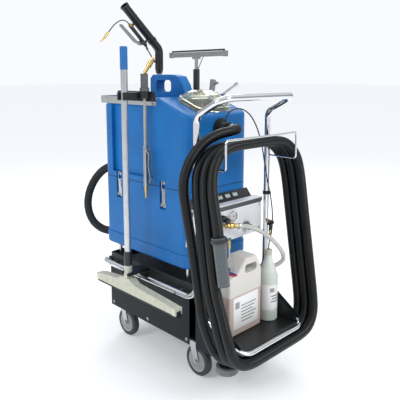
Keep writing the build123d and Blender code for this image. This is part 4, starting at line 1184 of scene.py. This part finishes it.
def paint_tools():
    """The gun, the wand, the spare tools and the hose cuff."""
    paint(banded("gun_finish", [(0.0, TIP_BRASS, 0.24, 1.0), (0.742, (0.45, 0.46, 0.46), 0.3, 1.0),
                                (0.9082, (0.44, 0.42, 0.34), 0.45, 0.2),
                                (1.0962, (0.10, 0.11, 0.12), 0.4, 0.1),
                                (1.1955, TIP_BRASS, 0.26, 1.0)]), "spray_gun")
    paint(brushed("trigger_brass", (0.55, 0.50, 0.40), 0.28), "gun_trigger")
    paint(banded("wand_finish", [(0.0, (0.62, 0.63, 0.64), 0.14, 1.0),
                                 (1.1965, (0.012, 0.013, 0.014), 0.3, 0.0)]), "wand_tube")
    barb = ((-0.026, 0.46, 1.415), (0.029, 0.50, 1.50), TIP_BRASS, 0.28, 1.0)
    paint(fitting_patch("wand_valve_finish", ((0.030, 0.032, 0.034), 0.36, 0.0), [barb]), "wand_valve")
    paint(moulded("lever_grey", (0.16, 0.17, 0.18), 0.4), "wand_lever")
    holder = ((0.15, 0.07, 1.06), (0.26, 0.14, 1.2), GUN_GREY, 0.42, 0.0)
    paint(fitting_patch("spare_finish", ((0.55, 0.56, 0.57), 0.26, 1.0), [holder]), "spare_tools")
    paint(braided_tube("cuff_sleeve", (0.12, 0.14, 0.15), 0.26, 0.2), "hose_cuff")
    paint(brushed("connector_brass", TIP_BRASS, 0.26), "pigtail_connector")


class CLEANER_OT_finishes(bpy.types.Operator):
    """Give every part of the machine its finish"""
    bl_idname = "cleaner.finishes"
    bl_label = "Finishes"

    def execute(self, context):
        look = context.scene.cleaner_finishes
        for step in (paint_base, paint_tanks, paint_box, paint_squeegees):
            step(look)
        paint_tools()
        return {"FINISHED"}


# The lights: name, place, width and power, all aimed at the middle of the machine.
AIM = (0.0, 0.0, 0.7)
SOFT_BOXES = [
    ("key", (0.6, -3.4, 2.8), 1.6, 64),
    ("left", (-3.4, 0.6, 2.6), 1.4, 42),
    ("back", (2.2, 2.4, 3.0), 1.8, 40),
]


def area_light(name, place, width, power):
    """A square soft box that faces the machine."""
    data = bpy.data.lights.new(name, "AREA")
    data.shape = "RECTANGLE"
    data.size = width
    data.size_y = width
    data.energy = power
    light = bpy.data.objects.new(name, data)
    light.location = place
    light.rotation_euler = (Vector(AIM) - Vector(place)).to_track_quat("-Z", "Y").to_euler()
    bpy.context.scene.collection.objects.link(light)


def studio_world(horizon, zenith):
    """A white ground that lights less at eye level, so that bright metal shows dark streaks."""
    world = bpy.data.worlds.new("studio")
    world.use_nodes = True
    tree = world.node_tree
    back = tree.nodes["Background"]
    back.inputs["Color"].default_value = (0.95, 0.97, 1.0, 1.0)
    kinds = ("TexCoord", "SeparateXYZ", "MapRange", "LightPath", "Mix")
    place, split, rise, seen, choice = [tree.nodes.new("ShaderNode" + kind) for kind in kinds]
    span = {"From Min": 0.05, "From Max": 0.65, "To Min": horizon, "To Max": zenith}
    for name, value in span.items():
        rise.inputs[name].default_value = value
    choice.inputs["B"].default_value = 1.0
    tree.links.new(place.outputs["Generated"], split.inputs[0])
    tree.links.new(split.outputs["Z"], rise.inputs["Value"])
    tree.links.new(seen.outputs["Is Camera Ray"], choice.inputs["Factor"])
    tree.links.new(rise.outputs["Result"], choice.inputs["A"])
    tree.links.new(choice.outputs["Result"], back.inputs["Strength"])
    return world


def studio_floor(tone):
    """A wide, plain pale floor, faintly mottled."""
    bm = bmesh.new()
    bmesh.ops.create_grid(bm, x_segments=1, y_segments=1, size=60)
    paper = Finish("studio_paper", roughness=0.85, emission_color=(0.9, 0.92, 0.95),
                   emission_strength=0.24)
    mottle = paper.noise(3.0).clip(0.3, 0.8) * 0.04
    paper.set(base_color=paper.mix(mottle, tone, (0.7, 0.7, 0.7)))
    new_piece("studio_floor", bm, paper.material, smooth=False)


class CLEANER_OT_stage(bpy.types.Operator):
    """Make the floor, the soft lights and the camera"""
    bl_idname = "cleaner.stage"
    bl_label = "Stage"

    def execute(self, context):
        scene = context.scene
        look = scene.cleaner_stage
        studio_floor(tuple(look.floor))
        scene.world = studio_world(0.22, 0.95)
        for box in SOFT_BOXES:
            area_light(*box)
        scene.view_settings.view_transform = "Standard"
        data = bpy.data.cameras.new("camera")
        data.lens = look.lens
        data.sensor_width = 36.0
        data.shift_y = look.shift
        camera = bpy.data.objects.new("camera", data)
        camera.location = look.eye
        camera.rotation_euler = (math.pi / 2 - look.tilt, 0, look.turn)
        scene.collection.objects.link(camera)
        scene.camera = camera
        return {"FINISHED"}


OPERATORS = [
    CLEANER_OT_stage,
    CLEANER_OT_suction_hose,
    CLEANER_OT_rear_hose,
    CLEANER_OT_thin_tubes,
    CLEANER_OT_finishes,
    CLEANER_OT_screws,
    CLEANER_OT_gauge,
    CLEANER_OT_labels,
    CLEANER_OT_clips,
    CLEANER_OT_castor_trim,
    CLEANER_OT_tap_parts,
    CLEANER_OT_squeegee_ribs,
    CLEANER_OT_rear_louvres,
    CLEANER_OT_bar_clip,
    CLEANER_OT_rocker_marks,
]


class CLEANER_PT_panel(bpy.types.Panel):
    """The cleaner's parts and settings in the sidebar."""
    bl_label = "Cleaning trolley"
    bl_idname = "CLEANER_PT_panel"
    bl_space_type = "VIEW_3D"
    bl_region_type = "UI"
    bl_category = "Cleaner"

    def draw(self, context):
        column = self.layout.column()
        for group_name in GROUPS:
            group = getattr(context.scene, group_name)
            for name in group.bl_rna.properties.keys():
                if name not in ("rna_type", "name"):
                    column.prop(group, name)
        for operator in OPERATORS:
            column.operator(operator.bl_idname)


GROUPS = {
    "cleaner_finishes": CLEANER_PG_finishes,
    "cleaner_sizes": CLEANER_PG_sizes,
    "cleaner_stage": CLEANER_PG_stage,
}


def register():
    for name, group in GROUPS.items():
        bpy.utils.register_class(group)
        setattr(bpy.types.Scene, name, PointerProperty(type=group))
    for item in [*OPERATORS, CLEANER_PT_panel]:
        bpy.utils.register_class(item)


def unregister():
    for item in [CLEANER_PT_panel, *reversed(OPERATORS)]:
        bpy.utils.unregister_class(item)
    for name, group in GROUPS.items():
        delattr(bpy.types.Scene, name)
        bpy.utils.unregister_class(group)


def main():
    """Makes everything in order."""
    register()
    for operator in OPERATORS:
        _, name = operator.bl_idname.split(".")
        getattr(bpy.ops.cleaner, name)()


if __name__ == "__main__":
    main()
